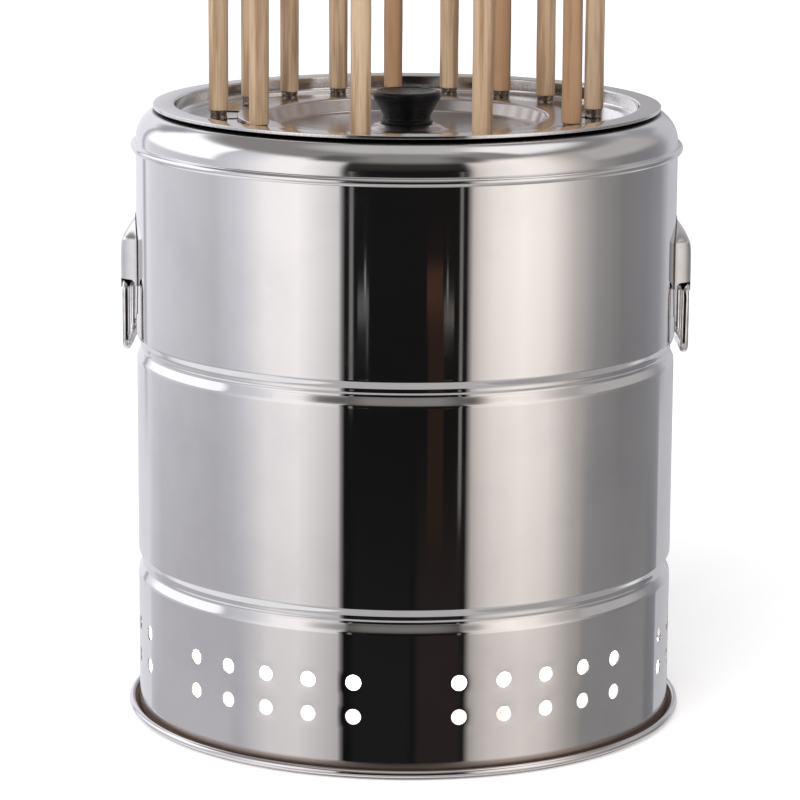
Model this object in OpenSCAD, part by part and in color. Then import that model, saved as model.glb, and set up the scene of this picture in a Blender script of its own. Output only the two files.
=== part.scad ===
// Charcoal barrel grill with hanging skewers.
// The origin is on the ground under the barrel's axis, +Z is up and the front faces -Y.

/* [Barrel] */
// Outside diameter of the barrel
barrel_d = 300; // [290:1:340]
// Height of the barrel wall's top edge above the ground
barrel_h = 323; // [310:0.5:380]
// Thickness of the sheet that the body, pans and lid are made of
sheet_t = 0.8; // [0.5:0.1:1.2]
// Height of the lower groove's middle
groove_low_z = 85.7; // [80:0.1:120]
// Height of the upper groove's middle
groove_high_z = 208.2; // [150:0.1:212]
// Height of a groove, edge to edge
groove_w = 15.4; // [10:0.1:18]
// Depth of a groove
groove_depth = 2.3; // [1:0.1:3]

/* [Vents] */
// Diameter of a vent
vent_d = 8.5; // [5:0.1:10]
// Height of the lower row's middle
vent_low_z = 33.3; // [20:0.1:36]
// Height of the upper row over the lower one
vent_row_pitch = 18.7; // [14:0.1:20]
// Number of vent groups around the barrel
vent_groups = 6; // [3:1:6]
// Number of columns in a group
vent_columns = 5; // [2:1:6]
// Angle between columns
vent_pitch_deg = 9.6; // [6:0.1:10]
// Turn of the vent pattern around the barrel
vent_turn_deg = 0.6; // [0:0.1:10]

/* [Base pan] */
// Height of the rim
rim_h = 5.5; // [4.5:0.1:12]
// Diameter of the roll along the rim's edge
rim_roll_d = 3.8; // [2.4:0.1:4.4]
// Gap between the barrel and the rim
rim_gap = 2.2; // [1:0.1:4]

/* [Shoulder] */
// Radius of the quarter-round shoulder
shoulder_r = 17.3; // [12:0.1:22]
// Distance from the barrel's top edge down to the middle of the seam band
seam_drop = 3.4; // [3.2:0.1:6]
// Radius of the seam band's half-round section
seam_bead_r = 2.2; // [1.8:0.05:2.6]
// How far the seam band stands out from the barrel
seam_proud = 2.85; // [2:0.05:3.5]
// Inside radius of the bend into the neck
neck_bend = 1.2; // [0.5:0.1:3]
// Depth of the neck that guides the tray
neck_h = 12; // [6:0.5:20]

/* [Skewer tray] */
// Thickness of the folded flange
flange_t = 2; // [1.4:0.1:3]
// Width of the flange
flange_w = 12.1; // [8:0.1:16]
// Depth of the tray's floor below the flange
tray_depth = 8.8; // [6:0.1:14]
// Radius of the bend between the tray's wall and floor
tray_bend = 2.2; // [1:0.1:4]
// Gap between the tray's wall and the neck
tray_clear = 1.7; // [0.8:0.1:3]
// Distance from the tray's wall to the circle of skewers
slot_inset = 24.2; // [18:0.1:30]
// Number of skewer slots
slot_count = 20; // [16:1:24]
// Width of a slot
slot_w = 7; // [5.5:0.1:8]
// Angle of the first slot from the front
slot_turn_deg = -13.5; // [-18:0.5:18]

/* [Lid] */
// Gap between the lid's edge and the skewer handles
lid_gap = 4.5; // [2:0.1:8]
// Width of the lid's rim that lies on the tray
lid_land = 10; // [6:0.1:14]
// Gap between the dish of the lid and the tray's opening
dish_gap = 6; // [2:0.1:9]
// Depth of the dish below the rim
dish_depth = 8; // [4:0.1:12]
// Inward slope of the dish's side over its depth
dish_draft = 3.5; // [1:0.1:6]
// Diameter of the rolled edge
lid_hem_d = 1.8; // [1.6:0.1:2.6]
// Diameter of the boss under the knob
boss_d = 48; // [40:1:60]
// Height of the boss
boss_h = 3.3; // [2:0.1:5]

/* [Knob] */
// Diameter of the knob's top
knob_d = 37.6; // [32:0.2:44]
// Height of the knob
knob_h = 18; // [15:0.5:24]
// Diameter of the knob's neck
knob_neck_d = 26; // [20:0.5:28]
// Diameter of the knob's foot
knob_foot_d = 29; // [28:0.5:32]
// Thickness of the knob's foot
knob_foot_t = 2.2; // [1.5:0.1:3]
// Diameter of the knob's screw
screw_d = 5; // [4:0.5:6]

/* [Skewers] */
// Diameter of a wooden handle
handle_d = 11; // [9:0.1:12]
// Length of a wooden handle
handle_len = 120; // [80:1:160]
// Diameter of a ferrule
ferrule_d = 9.6; // [9:0.1:10]
// Height of a ferrule
ferrule_h = 4.6; // [3:0.1:8]
// Diameter of a rod
rod_d = 4; // [3:0.1:4.6]
// Length of the rod inside the handle
tang_len = 35; // [20:1:60]
// Length of the rod's point
point_len = 12; // [6:1:20]
// Gap between the rods' points and the drip pan's rim
rod_tip_gap = 20; // [10:1:60]

/* [Charcoal cage] */
// Outside diameter of the cage
cage_d = 112; // [90:1:124]
// Width of the cage's foot flange
cage_flange_w = 16; // [10:0.5:18]
// Width of the ledge that carries the grate
cage_ledge = 5; // [3:0.5:8]
// Room above the cage, under the lid
cage_headroom = 66; // [64:1:120]
// Diameter of a hole in the cage
cage_hole_d = 12; // [8:0.5:14]
// Number of columns of holes
cage_columns = 14; // [8:1:14]
// Number of rows of holes
cage_rows = 7; // [3:1:8]
// Thickness of the grate
grate_t = 1.5; // [1:0.1:3]
// Diameter of a hole in the grate
grate_hole_d = 9; // [5:0.5:10]
// Diameter of the bail's wire
bail_wire_d = 3; // [2.5:0.1:4]

/* [Pans] */
// Gap between the vents and the drip pan
pan_vent_gap = 6; // [2:0.5:12]
// Gap between the drip pan and the neck that it is lifted out through
pan_neck_gap = 6; // [3:0.5:16]
// Height of the drip pan's outer wall
pan_h = 12; // [6:0.5:16]
// Height of the collar that carries the cage
collar_h = 10; // [6:0.5:14]
// How far the cage's flange lies over the collar
collar_land = 4; // [2:0.5:6]
// Width of a leg
leg_w = 18; // [12:1:30]
// Thickness of a leg
leg_t = 1.5; // [1:0.1:2.5]
// Length of the tabs at a leg's ends
leg_tab = 10; // [6:0.5:14]
// Diameter of the ash pan
ash_pan_d = 124; // [90:1:150]
// Height of the ash pan
ash_pan_h = 14; // [8:0.5:20]

/* [Side handles] */
// Angle of the handles from the front
handle_deg = 91; // [84:0.5:96]
// Distance from the barrel's top edge down to the ring's pivot
pivot_drop = 79.5; // [60:0.5:84]
// Distance from the barrel to the ring's pivot
pivot_out = 4.2; // [4.2:0.1:6]
// Diameter of the ring's wire
ring_wire_d = 4.4; // [3:0.1:4.6]
// Distance between the ring's legs
ring_w = 48; // [44:0.5:54]
// Height of the ring, from pivot to bottom wire
ring_h = 35.3; // [28:0.1:50]
// Radius of the ring's corners
ring_bend = 5; // [4:0.1:6]
// Thickness of the bracket's plate and cover
plate_t = 0.8; // [0.6:0.1:1.2]
// Width of the bracket's plate
plate_w = 56; // [52:0.5:62]
// Width of the cover's outer face
cover_w = 44; // [40:0.5:48]
// Height of the cover's outer face
cover_h = 22.5; // [14:0.5:28]
// Gap between the ring's wire and the cover's outer face
cover_gap = 0.5; // [0.5:0.1:1.5]
// Length of the knuckle that holds the ring
knuckle_len = 30; // [20:0.5:34]

/* [Hidden] */
$fn = 96;
// Seats of loose pieces, and play of pieces that are pressed or screwed together
seat_gap = 0.3;
press_gap = 0.05;
running_gap = 0.06;
weld_gap = 0.1;
cut = 1;
// Length of a cutter through a curved sheet wall
wall_cut = 4 * sheet_t + 2 * cut;

barrel_r = barrel_d / 2;
groove_r = (pow(groove_w / 2, 2) + pow(groove_depth, 2)) / (2 * groove_depth);
groove_centre_r = barrel_r - groove_depth + groove_r;
vent_high_z = vent_low_z + vent_row_pitch;

seam_z = barrel_h - seam_drop;
shoulder_centre_r = barrel_r - shoulder_r;
shoulder_top_z = barrel_h + shoulder_r;
neck_turn = neck_bend + sheet_t;
neck_r = shoulder_centre_r - neck_turn;

flange_under_z = shoulder_top_z + seat_gap;
flange_top_z = flange_under_z + flange_t;
tray_wall_r = neck_r - tray_clear;
tray_inner_r = tray_wall_r - sheet_t;
flange_r = tray_inner_r + flange_w;
tray_floor_z = flange_top_z - tray_depth;
slot_r = tray_inner_r - slot_inset;
slot_end_play = 1.5;

lid_r = slot_r - handle_d / 2 - lid_gap;
opening_r = lid_r - lid_land;
dish_r = opening_r - dish_gap;
lid_under_z = tray_floor_z + seat_gap;
lid_top_z = lid_under_z + lid_hem_d;
dish_floor_z = lid_top_z - dish_depth;
boss_top_z = dish_floor_z + boss_h;
boss_margin = 1;
boss_flat_r = knob_foot_d / 2 + boss_margin;
screw_hole_r = screw_d / 2 + seat_gap;
washer_t = 1;
washer_w = 3;
washer_r = screw_d / 2 + washer_w;
screw_head_h = 3;
screw_head_w = 2;
screw_head_r = screw_d / 2 + screw_head_w;
driver_slot_w = 1;
driver_slot_len = 5.4;
knob_over_screw = 7.2;
screw_engage = knob_h - knob_over_screw;
bore_room = 1;
lid_low_z = min(dish_floor_z, boss_top_z - washer_t - screw_head_h) - sheet_t;

handle_z = tray_floor_z + seat_gap + ferrule_h;
handle_edge = 1.5;
point_d = 0.6;
filled_slots = [0, 2, 4, 6, 8, 9, 10, 11, 12, 13, 14, 16, 18];

pan_under_z = vent_high_z + vent_d / 2 + pan_vent_gap;
pan_floor_z = pan_under_z + sheet_t;
pan_rim_z = pan_under_z + pan_h;
pan_r = neck_r - pan_neck_gap;
pan_hem_d = 2.4;
cage_r = cage_d / 2;
cage_flange_r = cage_r + cage_flange_w;
collar_r = cage_flange_r - collar_land;
collar_top_z = pan_under_z + collar_h;
leg_count = 3;
leg_r = (collar_r + pan_r) / 2;
rod_tip_z = pan_rim_z + rod_tip_gap;

cage_z = collar_top_z + seat_gap;
cage_top_z = lid_low_z - cage_headroom;
cage_hem_r = 1.2;
cage_hem_centre_r = cage_r - cage_hem_r;
cage_web = 4.8;
cage_margin = cage_hole_d + cage_web;
grate_web = 5.4;
grate_ring_pitch = grate_hole_d + grate_web;
first_ring_holes = 6;
bail_r = bail_wire_d / 2;
bail_z = cage_top_z + seat_gap + bail_r;
lug_t = 1.5;
lug_w = 12;
lug_below = 20;
lug_margin = 3;
lug_above = bail_r + lug_margin;
lug_r = cage_r + weld_gap;
bail_bow_r = lug_r - seat_gap - bail_r;
pin_over = 2;

pivot_z = barrel_h - pivot_drop;
wire_r = ring_wire_d / 2;
knuckle_wall = 0.8;
knuckle_r = wire_r + knuckle_wall;
cover_out = pivot_out + wire_r + cover_gap + plate_t;
cover_root = 3;
cover_depth = cover_out + cover_root;
cover_low_z = pivot_z + wire_r + cover_gap;
cover_top_z = cover_low_z + cover_h;
cover_rise = 10;
cover_top_slope = cover_rise / cover_depth;
cover_flank_slope = (plate_w - cover_w) / 2 / cover_depth;
plate_drop = 17;
plate_low_z = pivot_z - plate_drop;
plate_low_taper = 4;
plate_tip_taper = 13.3;
plate_margin = 2;
plate_top_z = cover_top_z + cover_rise + plate_margin;
lip_play = 4;
lip_w = ring_w - ring_wire_d - 2 * lip_play;
lip_drop = 1;
lip_low_z = pivot_z - wire_r - lip_drop;

skewer_numbers = [for (i = [1 : len(filled_slots)]) i];

// A flat ring or disc of the turned profiles: from one radius to another, up from a height
module band(r1, r2, z, h) {
    translate([r1, z]) square([r2 - r1, h]);
}

// Quarter of a bent sheet: a ring sector around a centre, in the quadrant that the signs pick
module bend(centre, r_out, r_in, sx, sy) {
    intersection() {
        translate(centre) difference() {
            circle(r_out);
            circle(r_in);
        }
        translate([centre[0] - (sx < 0 ? r_out : 0), centre[1] - (sy < 0 ? r_out : 0)]) square(r_out);
    }
}

// Places a skewer's pieces at a slot
module at_slot(k) {
    rotate([0, 0, slot_turn_deg + k * 360 / slot_count]) translate([0, -slot_r, 0]) children();
}

// Places a side handle's pieces, with local +Y out of the barrel
module at_handle(side) {
    rotate([0, 0, 180 + side * handle_deg]) translate([0, barrel_r, 0]) children();
}

module base_pan() {
    rim_r = barrel_r + rim_gap;
    roll_r = rim_roll_d / 2;
    roll_z = rim_h - roll_r;
    color("silver") rotate_extrude() {
        band(0, rim_r + sheet_t, 0, sheet_t);
        band(rim_r, rim_r + sheet_t, 0, roll_z);
        translate([rim_r + roll_r, roll_z]) circle(roll_r);
    }
}

module groove_profile(z) {
    intersection() {
        translate([groove_centre_r, z]) circle(groove_r + sheet_t);
        band(barrel_r - groove_depth - sheet_t, barrel_r, z - groove_w, 2 * groove_w);
    }
}

module vents() {
    for (g = [0 : vent_groups - 1], c = [0 : vent_columns - 1], z = [vent_low_z, vent_high_z]) {
        column_deg = (c - (vent_columns - 1) / 2) * vent_pitch_deg;
        rotate([0, 0, vent_turn_deg + (g + 1 / 2) * 360 / vent_groups + column_deg])
            translate([0, -barrel_r, z])
            rotate([90, 0, 0])
            cylinder(d = vent_d, h = wall_cut, center = true);
    }
}

module barrel_wall() {
    color("gainsboro") difference() {
        rotate_extrude() difference() {
            union() {
                band(barrel_r - sheet_t, barrel_r, sheet_t, barrel_h - sheet_t);
                groove_profile(groove_low_z);
                groove_profile(groove_high_z);
            }
            translate([groove_centre_r, groove_low_z]) circle(groove_r);
            translate([groove_centre_r, groove_high_z]) circle(groove_r);
        }
        vents();
    }
}

module shoulder_ring() {
    color("gainsboro") rotate_extrude() {
        bend([shoulder_centre_r, barrel_h], shoulder_r, shoulder_r - sheet_t, 1, 1);
        bend([shoulder_centre_r, shoulder_top_z - neck_turn], neck_turn, neck_bend, -1, 1);
        band(neck_r, neck_r + sheet_t, shoulder_top_z - neck_turn - neck_h, neck_h);
    }
}

module seam_band() {
    color("gainsboro") rotate_extrude() intersection() {
        translate([barrel_r + seam_proud - seam_bead_r, seam_z]) circle(seam_bead_r);
        band(barrel_r + weld_gap, barrel_r + seam_proud, seam_z - seam_bead_r, 2 * seam_bead_r);
    }
}

module ash_pan() {
    pan_r = ash_pan_d / 2;
    color("darkgray") rotate_extrude() {
        band(0, pan_r, sheet_t, sheet_t);
        band(pan_r - sheet_t, pan_r, sheet_t, ash_pan_h);
        translate([pan_r - pan_hem_d / 2, sheet_t + ash_pan_h]) circle(d = pan_hem_d);
    }
}

module drip_pan() {
    color("darkgray") rotate_extrude() {
        band(collar_r - sheet_t, pan_r, pan_under_z, sheet_t);
        band(pan_r - sheet_t, pan_r, pan_under_z, pan_h - pan_hem_d / 2);
        translate([pan_r - pan_hem_d / 2, pan_rim_z - pan_hem_d / 2]) circle(d = pan_hem_d);
        band(collar_r - sheet_t, collar_r, pan_under_z, collar_h);
    }
}

module pan_legs() {
    leg_h = pan_under_z - sheet_t;
    color("darkgray") for (i = [0 : leg_count - 1])
        rotate([0, 0, i * 360 / leg_count]) translate([-leg_w / 2, leg_r, sheet_t]) {
            cube([leg_w, leg_t, leg_h]);
            cube([leg_w, leg_tab, leg_t]);
            translate([0, 0, leg_h - leg_t]) cube([leg_w, leg_tab, leg_t]);
        }
}

// How far the inner side of a sloped wall shifts from the outer one, along the axis that the slope rises on
function wall_shift(thickness, slope) = thickness * sqrt(1 + slope * slope);

// Solid wedge of a bracket's cover, moved in by a wall: its side outline cut by its plan outline
module cover_wedge(inset, drop) {
    face_y = cover_out - inset;
    top_shift = wall_shift(inset, cover_top_slope);
    flank_shift = wall_shift(inset, cover_flank_slope);
    side = [
        [-cover_root, cover_low_z - drop],
        [face_y, cover_low_z - drop],
        [face_y, cover_top_z + inset * cover_top_slope - top_shift],
        [-cover_root, cover_top_z + cover_rise - top_shift]
    ];
    root_x = plate_w / 2 - flank_shift;
    face_x = cover_w / 2 + inset * cover_flank_slope - flank_shift;
    plan = [[-root_x, -cover_root], [root_x, -cover_root], [face_x, face_y], [-face_x, face_y]];
    intersection() {
        rotate([90, 0, 90]) translate([0, 0, -plate_w]) linear_extrude(2 * plate_w) polygon(side);
        translate([0, 0, plate_low_z]) linear_extrude(plate_top_z) polygon(plan);
    }
}

// Shield-shaped plate that follows the barrel
module bracket_plate() {
    half = [
        [plate_w / 2 - plate_low_taper, plate_low_z],
        [plate_w / 2, pivot_z - wire_r],
        [plate_w / 2, cover_top_z],
        [plate_w / 2 - plate_tip_taper, plate_top_z]
    ];
    outline = concat(half, [for (i = [len(half) - 1 : -1 : 0]) [-half[i][0], half[i][1]]]);
    intersection() {
        translate([0, -barrel_r, 0]) cylinder(r = barrel_r + weld_gap + plate_t, h = barrel_h);
        translate([0, plate_w / 2, 0]) rotate([90, 0, 0]) linear_extrude(plate_w) polygon(outline);
    }
}

module handle_bracket(side) {
    color("gainsboro") at_handle(side) difference() {
        union() {
            bracket_plate();
            difference() {
                cover_wedge(0, 0);
                cover_wedge(plate_t, cut);
            }
            // lip in front of the pivot, and the knuckle on its web
            translate([-lip_w / 2, cover_out - plate_t, lip_low_z])
                cube([lip_w, plate_t, cover_low_z - lip_low_z + plate_t]);
            translate([0, pivot_out, pivot_z]) rotate([0, 90, 0])
                cylinder(r = knuckle_r, h = knuckle_len, center = true);
            translate([-knuckle_len / 2, 0, pivot_z - knuckle_r])
                cube([knuckle_len, pivot_out, plate_t]);
        }
        translate([0, -barrel_r, 0]) cylinder(r = barrel_r + weld_gap, h = barrel_h);
        translate([0, pivot_out, pivot_z]) rotate([0, 90, 0])
            cylinder(r = wire_r + running_gap, h = 2 * plate_w, center = true);
    }
}

module ring_corner(x, z, turn) {
    translate([x, 0, z]) rotate([90, turn, 0]) rotate_extrude(angle = 90)
        translate([ring_bend, 0]) circle(wire_r);
}

module drop_ring(side) {
    half_w = ring_w / 2;
    straight_w = ring_w - 2 * ring_bend;
    straight_h = ring_h - 2 * ring_bend;
    color("silver") at_handle(side) translate([0, pivot_out, pivot_z]) {
        for (z = [0, -ring_h])
            translate([0, 0, z]) rotate([0, 90, 0]) cylinder(r = wire_r, h = straight_w, center = true);
        for (x = [-half_w, half_w])
            translate([x, 0, -ring_h / 2]) cylinder(r = wire_r, h = straight_h, center = true);
        ring_corner(half_w - ring_bend, -ring_bend, 0);
        ring_corner(ring_bend - half_w, -ring_bend, -90);
        ring_corner(ring_bend - half_w, ring_bend - ring_h, 180);
        ring_corner(half_w - ring_bend, ring_bend - ring_h, 90);
    }
}

module skewer_slot(k) {
    at_slot(k) translate([0, 0, tray_floor_z - sheet_t / 2]) {
        slot_end = slot_end_play + rod_d / 2 - slot_w / 2;
        slot_len = slot_r - opening_r + slot_end + cut;
        translate([0, -slot_end, 0]) cylinder(d = slot_w, h = sheet_t + 2 * cut, center = true);
        translate([0, slot_len / 2 - slot_end, 0])
            cube([slot_w, slot_len, sheet_t + 2 * cut], center = true);
    }
}

module skewer_tray() {
    color("gainsboro") difference() {
        rotate_extrude() band(opening_r, tray_wall_r, tray_floor_z - sheet_t, sheet_t);
        for (k = [0 : slot_count - 1]) skewer_slot(k);
    }
}

// Wall and folded flange around the tray's floor
module tray_rim() {
    color("gainsboro") rotate_extrude() {
        band(tray_inner_r, flange_r - flange_t / 2, flange_under_z, flange_t);
        translate([flange_r - flange_t / 2, flange_under_z + flange_t / 2]) circle(d = flange_t);
        band(tray_inner_r, tray_wall_r, tray_floor_z, tray_depth);
        difference() {
            band(tray_inner_r - tray_bend, tray_inner_r, tray_floor_z, tray_bend);
            translate([tray_inner_r - tray_bend, tray_floor_z + tray_bend]) circle(tray_bend);
        }
    }
}

module lid_pan() {
    rim_under_z = lid_top_z - sheet_t;
    dish_low_r = dish_r - dish_draft;
    boss_r = boss_d / 2;
    color("gainsboro") rotate_extrude() {
        translate([lid_r - lid_hem_d / 2, lid_under_z + lid_hem_d / 2]) circle(d = lid_hem_d);
        band(dish_r, lid_r - lid_hem_d / 2, rim_under_z, sheet_t);
        polygon([
            [dish_r, lid_top_z],
            [dish_low_r, dish_floor_z],
            [dish_low_r, dish_floor_z - sheet_t],
            [dish_low_r + sheet_t, dish_floor_z - sheet_t],
            [dish_r + sheet_t, rim_under_z],
            [dish_r + sheet_t, lid_top_z]
        ]);
        band(boss_r, dish_low_r, dish_floor_z - sheet_t, sheet_t);
        polygon([
            [boss_r, dish_floor_z],
            [boss_flat_r, boss_top_z],
            [screw_hole_r, boss_top_z],
            [screw_hole_r, boss_top_z - sheet_t],
            [boss_flat_r, boss_top_z - sheet_t],
            [boss_r, dish_floor_z - sheet_t]
        ]);
    }
}

module lid_knob() {
    top_r = knob_d / 2;
    edge_r = 2;
    edge_z = knob_h - edge_r;
    neck_r = knob_neck_d / 2;
    neck_top_z = knob_foot_t + 1.3;
    dish_sag = 1.4;
    dish_top_r = top_r - edge_r;
    dish_sphere_r = (pow(dish_top_r, 2) + pow(dish_sag, 2)) / (2 * dish_sag);
    color("black") translate([0, 0, boss_top_z]) difference() {
        rotate_extrude() {
            band(0, knob_foot_d / 2, 0, knob_foot_t);
            polygon([
                [0, 0],
                [neck_r, 0],
                [neck_r, neck_top_z],
                [top_r, edge_z - edge_r],
                [top_r, edge_z],
                [top_r - edge_r, knob_h],
                [0, knob_h]
            ]);
            translate([top_r - edge_r, edge_z]) circle(edge_r);
        }
        translate([0, 0, knob_h - dish_sag + dish_sphere_r]) sphere(dish_sphere_r);
        translate([0, 0, -cut])
            cylinder(r = screw_d / 2 + press_gap, h = screw_engage + bore_room + cut);
    }
}

module knob_washer() {
    color("silver") translate([0, 0, boss_top_z - sheet_t - washer_t]) difference() {
        cylinder(r = washer_r, h = washer_t);
        translate([0, 0, -cut]) cylinder(r = screw_hole_r, h = washer_t + 2 * cut);
    }
}

module knob_screw() {
    head_z = boss_top_z - sheet_t - washer_t - screw_head_h;
    color("silver") translate([0, 0, head_z]) difference() {
        union() {
            cylinder(r = screw_head_r, h = screw_head_h);
            cylinder(d = screw_d, h = screw_head_h + washer_t + sheet_t + screw_engage);
        }
        for (a = [0, 90])
            rotate([0, 0, a]) cube([driver_slot_len, driver_slot_w, screw_head_h], center = true);
    }
}

module skewer_handle() {
    body_h = handle_len - handle_edge;
    color("burlywood") translate([0, 0, handle_z]) difference() {
        union() {
            cylinder(d = handle_d, h = body_h);
            translate([0, 0, body_h])
                cylinder(d1 = handle_d, d2 = handle_d - 2 * handle_edge, h = handle_edge);
        }
        translate([0, 0, -cut]) cylinder(r = rod_d / 2 + press_gap, h = tang_len + bore_room + cut);
    }
}

module skewer_ferrule() {
    color("dimgray") translate([0, 0, handle_z - ferrule_h]) difference() {
        cylinder(d = ferrule_d, h = ferrule_h);
        translate([0, 0, -cut]) cylinder(r = rod_d / 2 + press_gap, h = ferrule_h + 2 * cut);
    }
}

module skewer_rod() {
    color("silver") {
        translate([0, 0, rod_tip_z]) cylinder(d1 = point_d, d2 = rod_d, h = point_len);
        translate([0, 0, rod_tip_z + point_len])
            cylinder(d = rod_d, h = handle_z + tang_len - rod_tip_z - point_len);
    }
}

module cage_wall() {
    row_pitch = (cage_top_z - cage_z - 2 * cage_margin) / (cage_rows - 1);
    color("slategray") difference() {
        rotate_extrude() {
            band(cage_r - sheet_t, cage_r, cage_z, cage_top_z - cage_hem_r - cage_z);
            translate([cage_hem_centre_r, cage_top_z - cage_hem_r]) circle(cage_hem_r);
            band(cage_r - cage_ledge, cage_flange_r, cage_z, sheet_t);
        }
        for (c = [0 : cage_columns - 1], i = [0 : cage_rows - 1])
            rotate([0, 0, (c + 1 / 2) * 360 / cage_columns])
                translate([0, -cage_r, cage_z + cage_margin + i * row_pitch])
                rotate([90, 0, 0])
                cylinder(d = cage_hole_d, h = wall_cut, center = true);
    }
}

module cage_grate() {
    grate_r = cage_r - sheet_t - seat_gap;
    ring_count = floor((grate_r - grate_hole_d) / grate_ring_pitch);
    color("dimgray") translate([0, 0, cage_z + sheet_t]) difference() {
        cylinder(r = grate_r, h = grate_t);
        translate([0, 0, -cut]) {
            cylinder(d = grate_hole_d, h = grate_t + 2 * cut);
            for (j = [1 : ring_count], a = [1 : first_ring_holes * j])
                rotate([0, 0, a * 360 / (first_ring_holes * j)]) translate([j * grate_ring_pitch, 0, 0])
                    cylinder(d = grate_hole_d, h = grate_t + 2 * cut);
        }
    }
}

module bail_lugs() {
    color("slategray") for (side = [0, 180])
        rotate([0, 0, side]) difference() {
            translate([lug_r, -lug_w / 2, bail_z - lug_below]) cube([lug_t, lug_w, lug_below + lug_above]);
            translate([lug_r - cut, 0, bail_z]) rotate([0, 90, 0])
                cylinder(r = bail_r + running_gap, h = lug_t + 2 * cut);
        }
}

module cage_bail() {
    pin_len = lug_r + lug_t + pin_over - bail_bow_r;
    color("silver") translate([0, 0, bail_z]) {
        rotate([0, 0, 180]) rotate_extrude(angle = 180) translate([bail_bow_r, 0]) circle(bail_r);
        for (side = [0, 180])
            rotate([0, 0, side]) translate([bail_bow_r, 0, 0]) {
                sphere(bail_r);
                rotate([0, 90, 0]) cylinder(r = bail_r, h = pin_len);
            }
    }
}

base_pan();
barrel_wall();
shoulder_ring();
seam_band();
ash_pan();
drip_pan();
pan_legs();
handle_bracket(-1);  // handle_bracket_left
handle_bracket(1);  // handle_bracket_right
drop_ring(-1);  // drop_ring_left
drop_ring(1);  // drop_ring_right
skewer_tray();
tray_rim();
lid_pan();
lid_knob();
knob_screw();
knob_washer();
cage_wall();
cage_grate();
bail_lugs();
cage_bail();
for (i = skewer_numbers) {
    at_slot(filled_slots[i - 1]) skewer_handle();
    at_slot(filled_slots[i - 1]) skewer_ferrule();
    at_slot(filled_slots[i - 1]) skewer_rod();
}
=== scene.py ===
"""Charcoal barrel grill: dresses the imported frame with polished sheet, turned wood and a white studio."""

import math

import bmesh
import bpy
from bpy.props import FloatProperty, FloatVectorProperty, IntProperty, PointerProperty
from mathutils import Matrix, Vector, noise


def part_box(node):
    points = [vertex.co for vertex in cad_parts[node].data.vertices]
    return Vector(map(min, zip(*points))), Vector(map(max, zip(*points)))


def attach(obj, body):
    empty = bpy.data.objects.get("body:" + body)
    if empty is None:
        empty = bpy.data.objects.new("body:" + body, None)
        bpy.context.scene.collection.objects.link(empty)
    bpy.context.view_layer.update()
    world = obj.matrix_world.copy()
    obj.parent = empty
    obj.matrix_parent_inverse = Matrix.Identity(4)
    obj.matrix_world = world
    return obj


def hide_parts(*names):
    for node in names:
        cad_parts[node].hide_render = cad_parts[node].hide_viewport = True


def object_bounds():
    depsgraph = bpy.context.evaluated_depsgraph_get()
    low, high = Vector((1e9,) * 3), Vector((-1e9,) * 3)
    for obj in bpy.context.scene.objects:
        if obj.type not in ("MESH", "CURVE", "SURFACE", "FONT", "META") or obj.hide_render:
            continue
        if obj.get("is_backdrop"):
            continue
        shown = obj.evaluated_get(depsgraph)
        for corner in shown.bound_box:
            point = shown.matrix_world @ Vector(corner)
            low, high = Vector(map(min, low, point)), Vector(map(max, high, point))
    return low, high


bl_info = {
    "name": "Charcoal Barrel Grill",
    "version": (1, 0, 0),
    "blender": (4, 5, 0),
    "location": "View3D > Sidebar > Grill",
    "description": "Builds the visible pieces of a charcoal barrel grill around its fixed frame",
    "category": "Object",
}

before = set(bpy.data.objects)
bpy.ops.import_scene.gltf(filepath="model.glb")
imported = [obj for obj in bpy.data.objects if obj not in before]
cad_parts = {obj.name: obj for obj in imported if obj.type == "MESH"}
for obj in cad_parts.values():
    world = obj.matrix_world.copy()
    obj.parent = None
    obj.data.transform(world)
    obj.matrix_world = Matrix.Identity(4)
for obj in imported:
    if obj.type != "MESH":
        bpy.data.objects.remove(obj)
CAD_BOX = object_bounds()

MM = 0.001
SKEWERS = sum(1 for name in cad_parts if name.startswith("skewer_handle_"))
MERGE_DISTANCE = 0.005 * MM


def number(name, description, value, unit="NONE"):
    """A number property, plain or in a unit."""
    return FloatProperty(name=name, description=description, default=value, unit=unit, precision=5)


def length(name, description, millimetres):
    """A size property, given in millimetres and kept in metres."""
    return number(name, description, millimetres * MM, "LENGTH")


def angle(name, description, degrees):
    """An angle property, given in degrees and kept in radians."""
    return number(name, description, math.radians(degrees), "ROTATION")


def how_many(name, description, value):
    """A property that counts."""
    return IntProperty(name=name, description=description, default=value, min=1)


def colour(name, description, value):
    """A linear colour property."""
    limits = {"min": 0, "max": 1}
    return FloatVectorProperty(name=name, description=description, default=value, subtype="COLOR", **limits)


def radius_of(node):
    """Outer radius of a node that is round about the axis."""
    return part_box(node)[1].x


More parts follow.
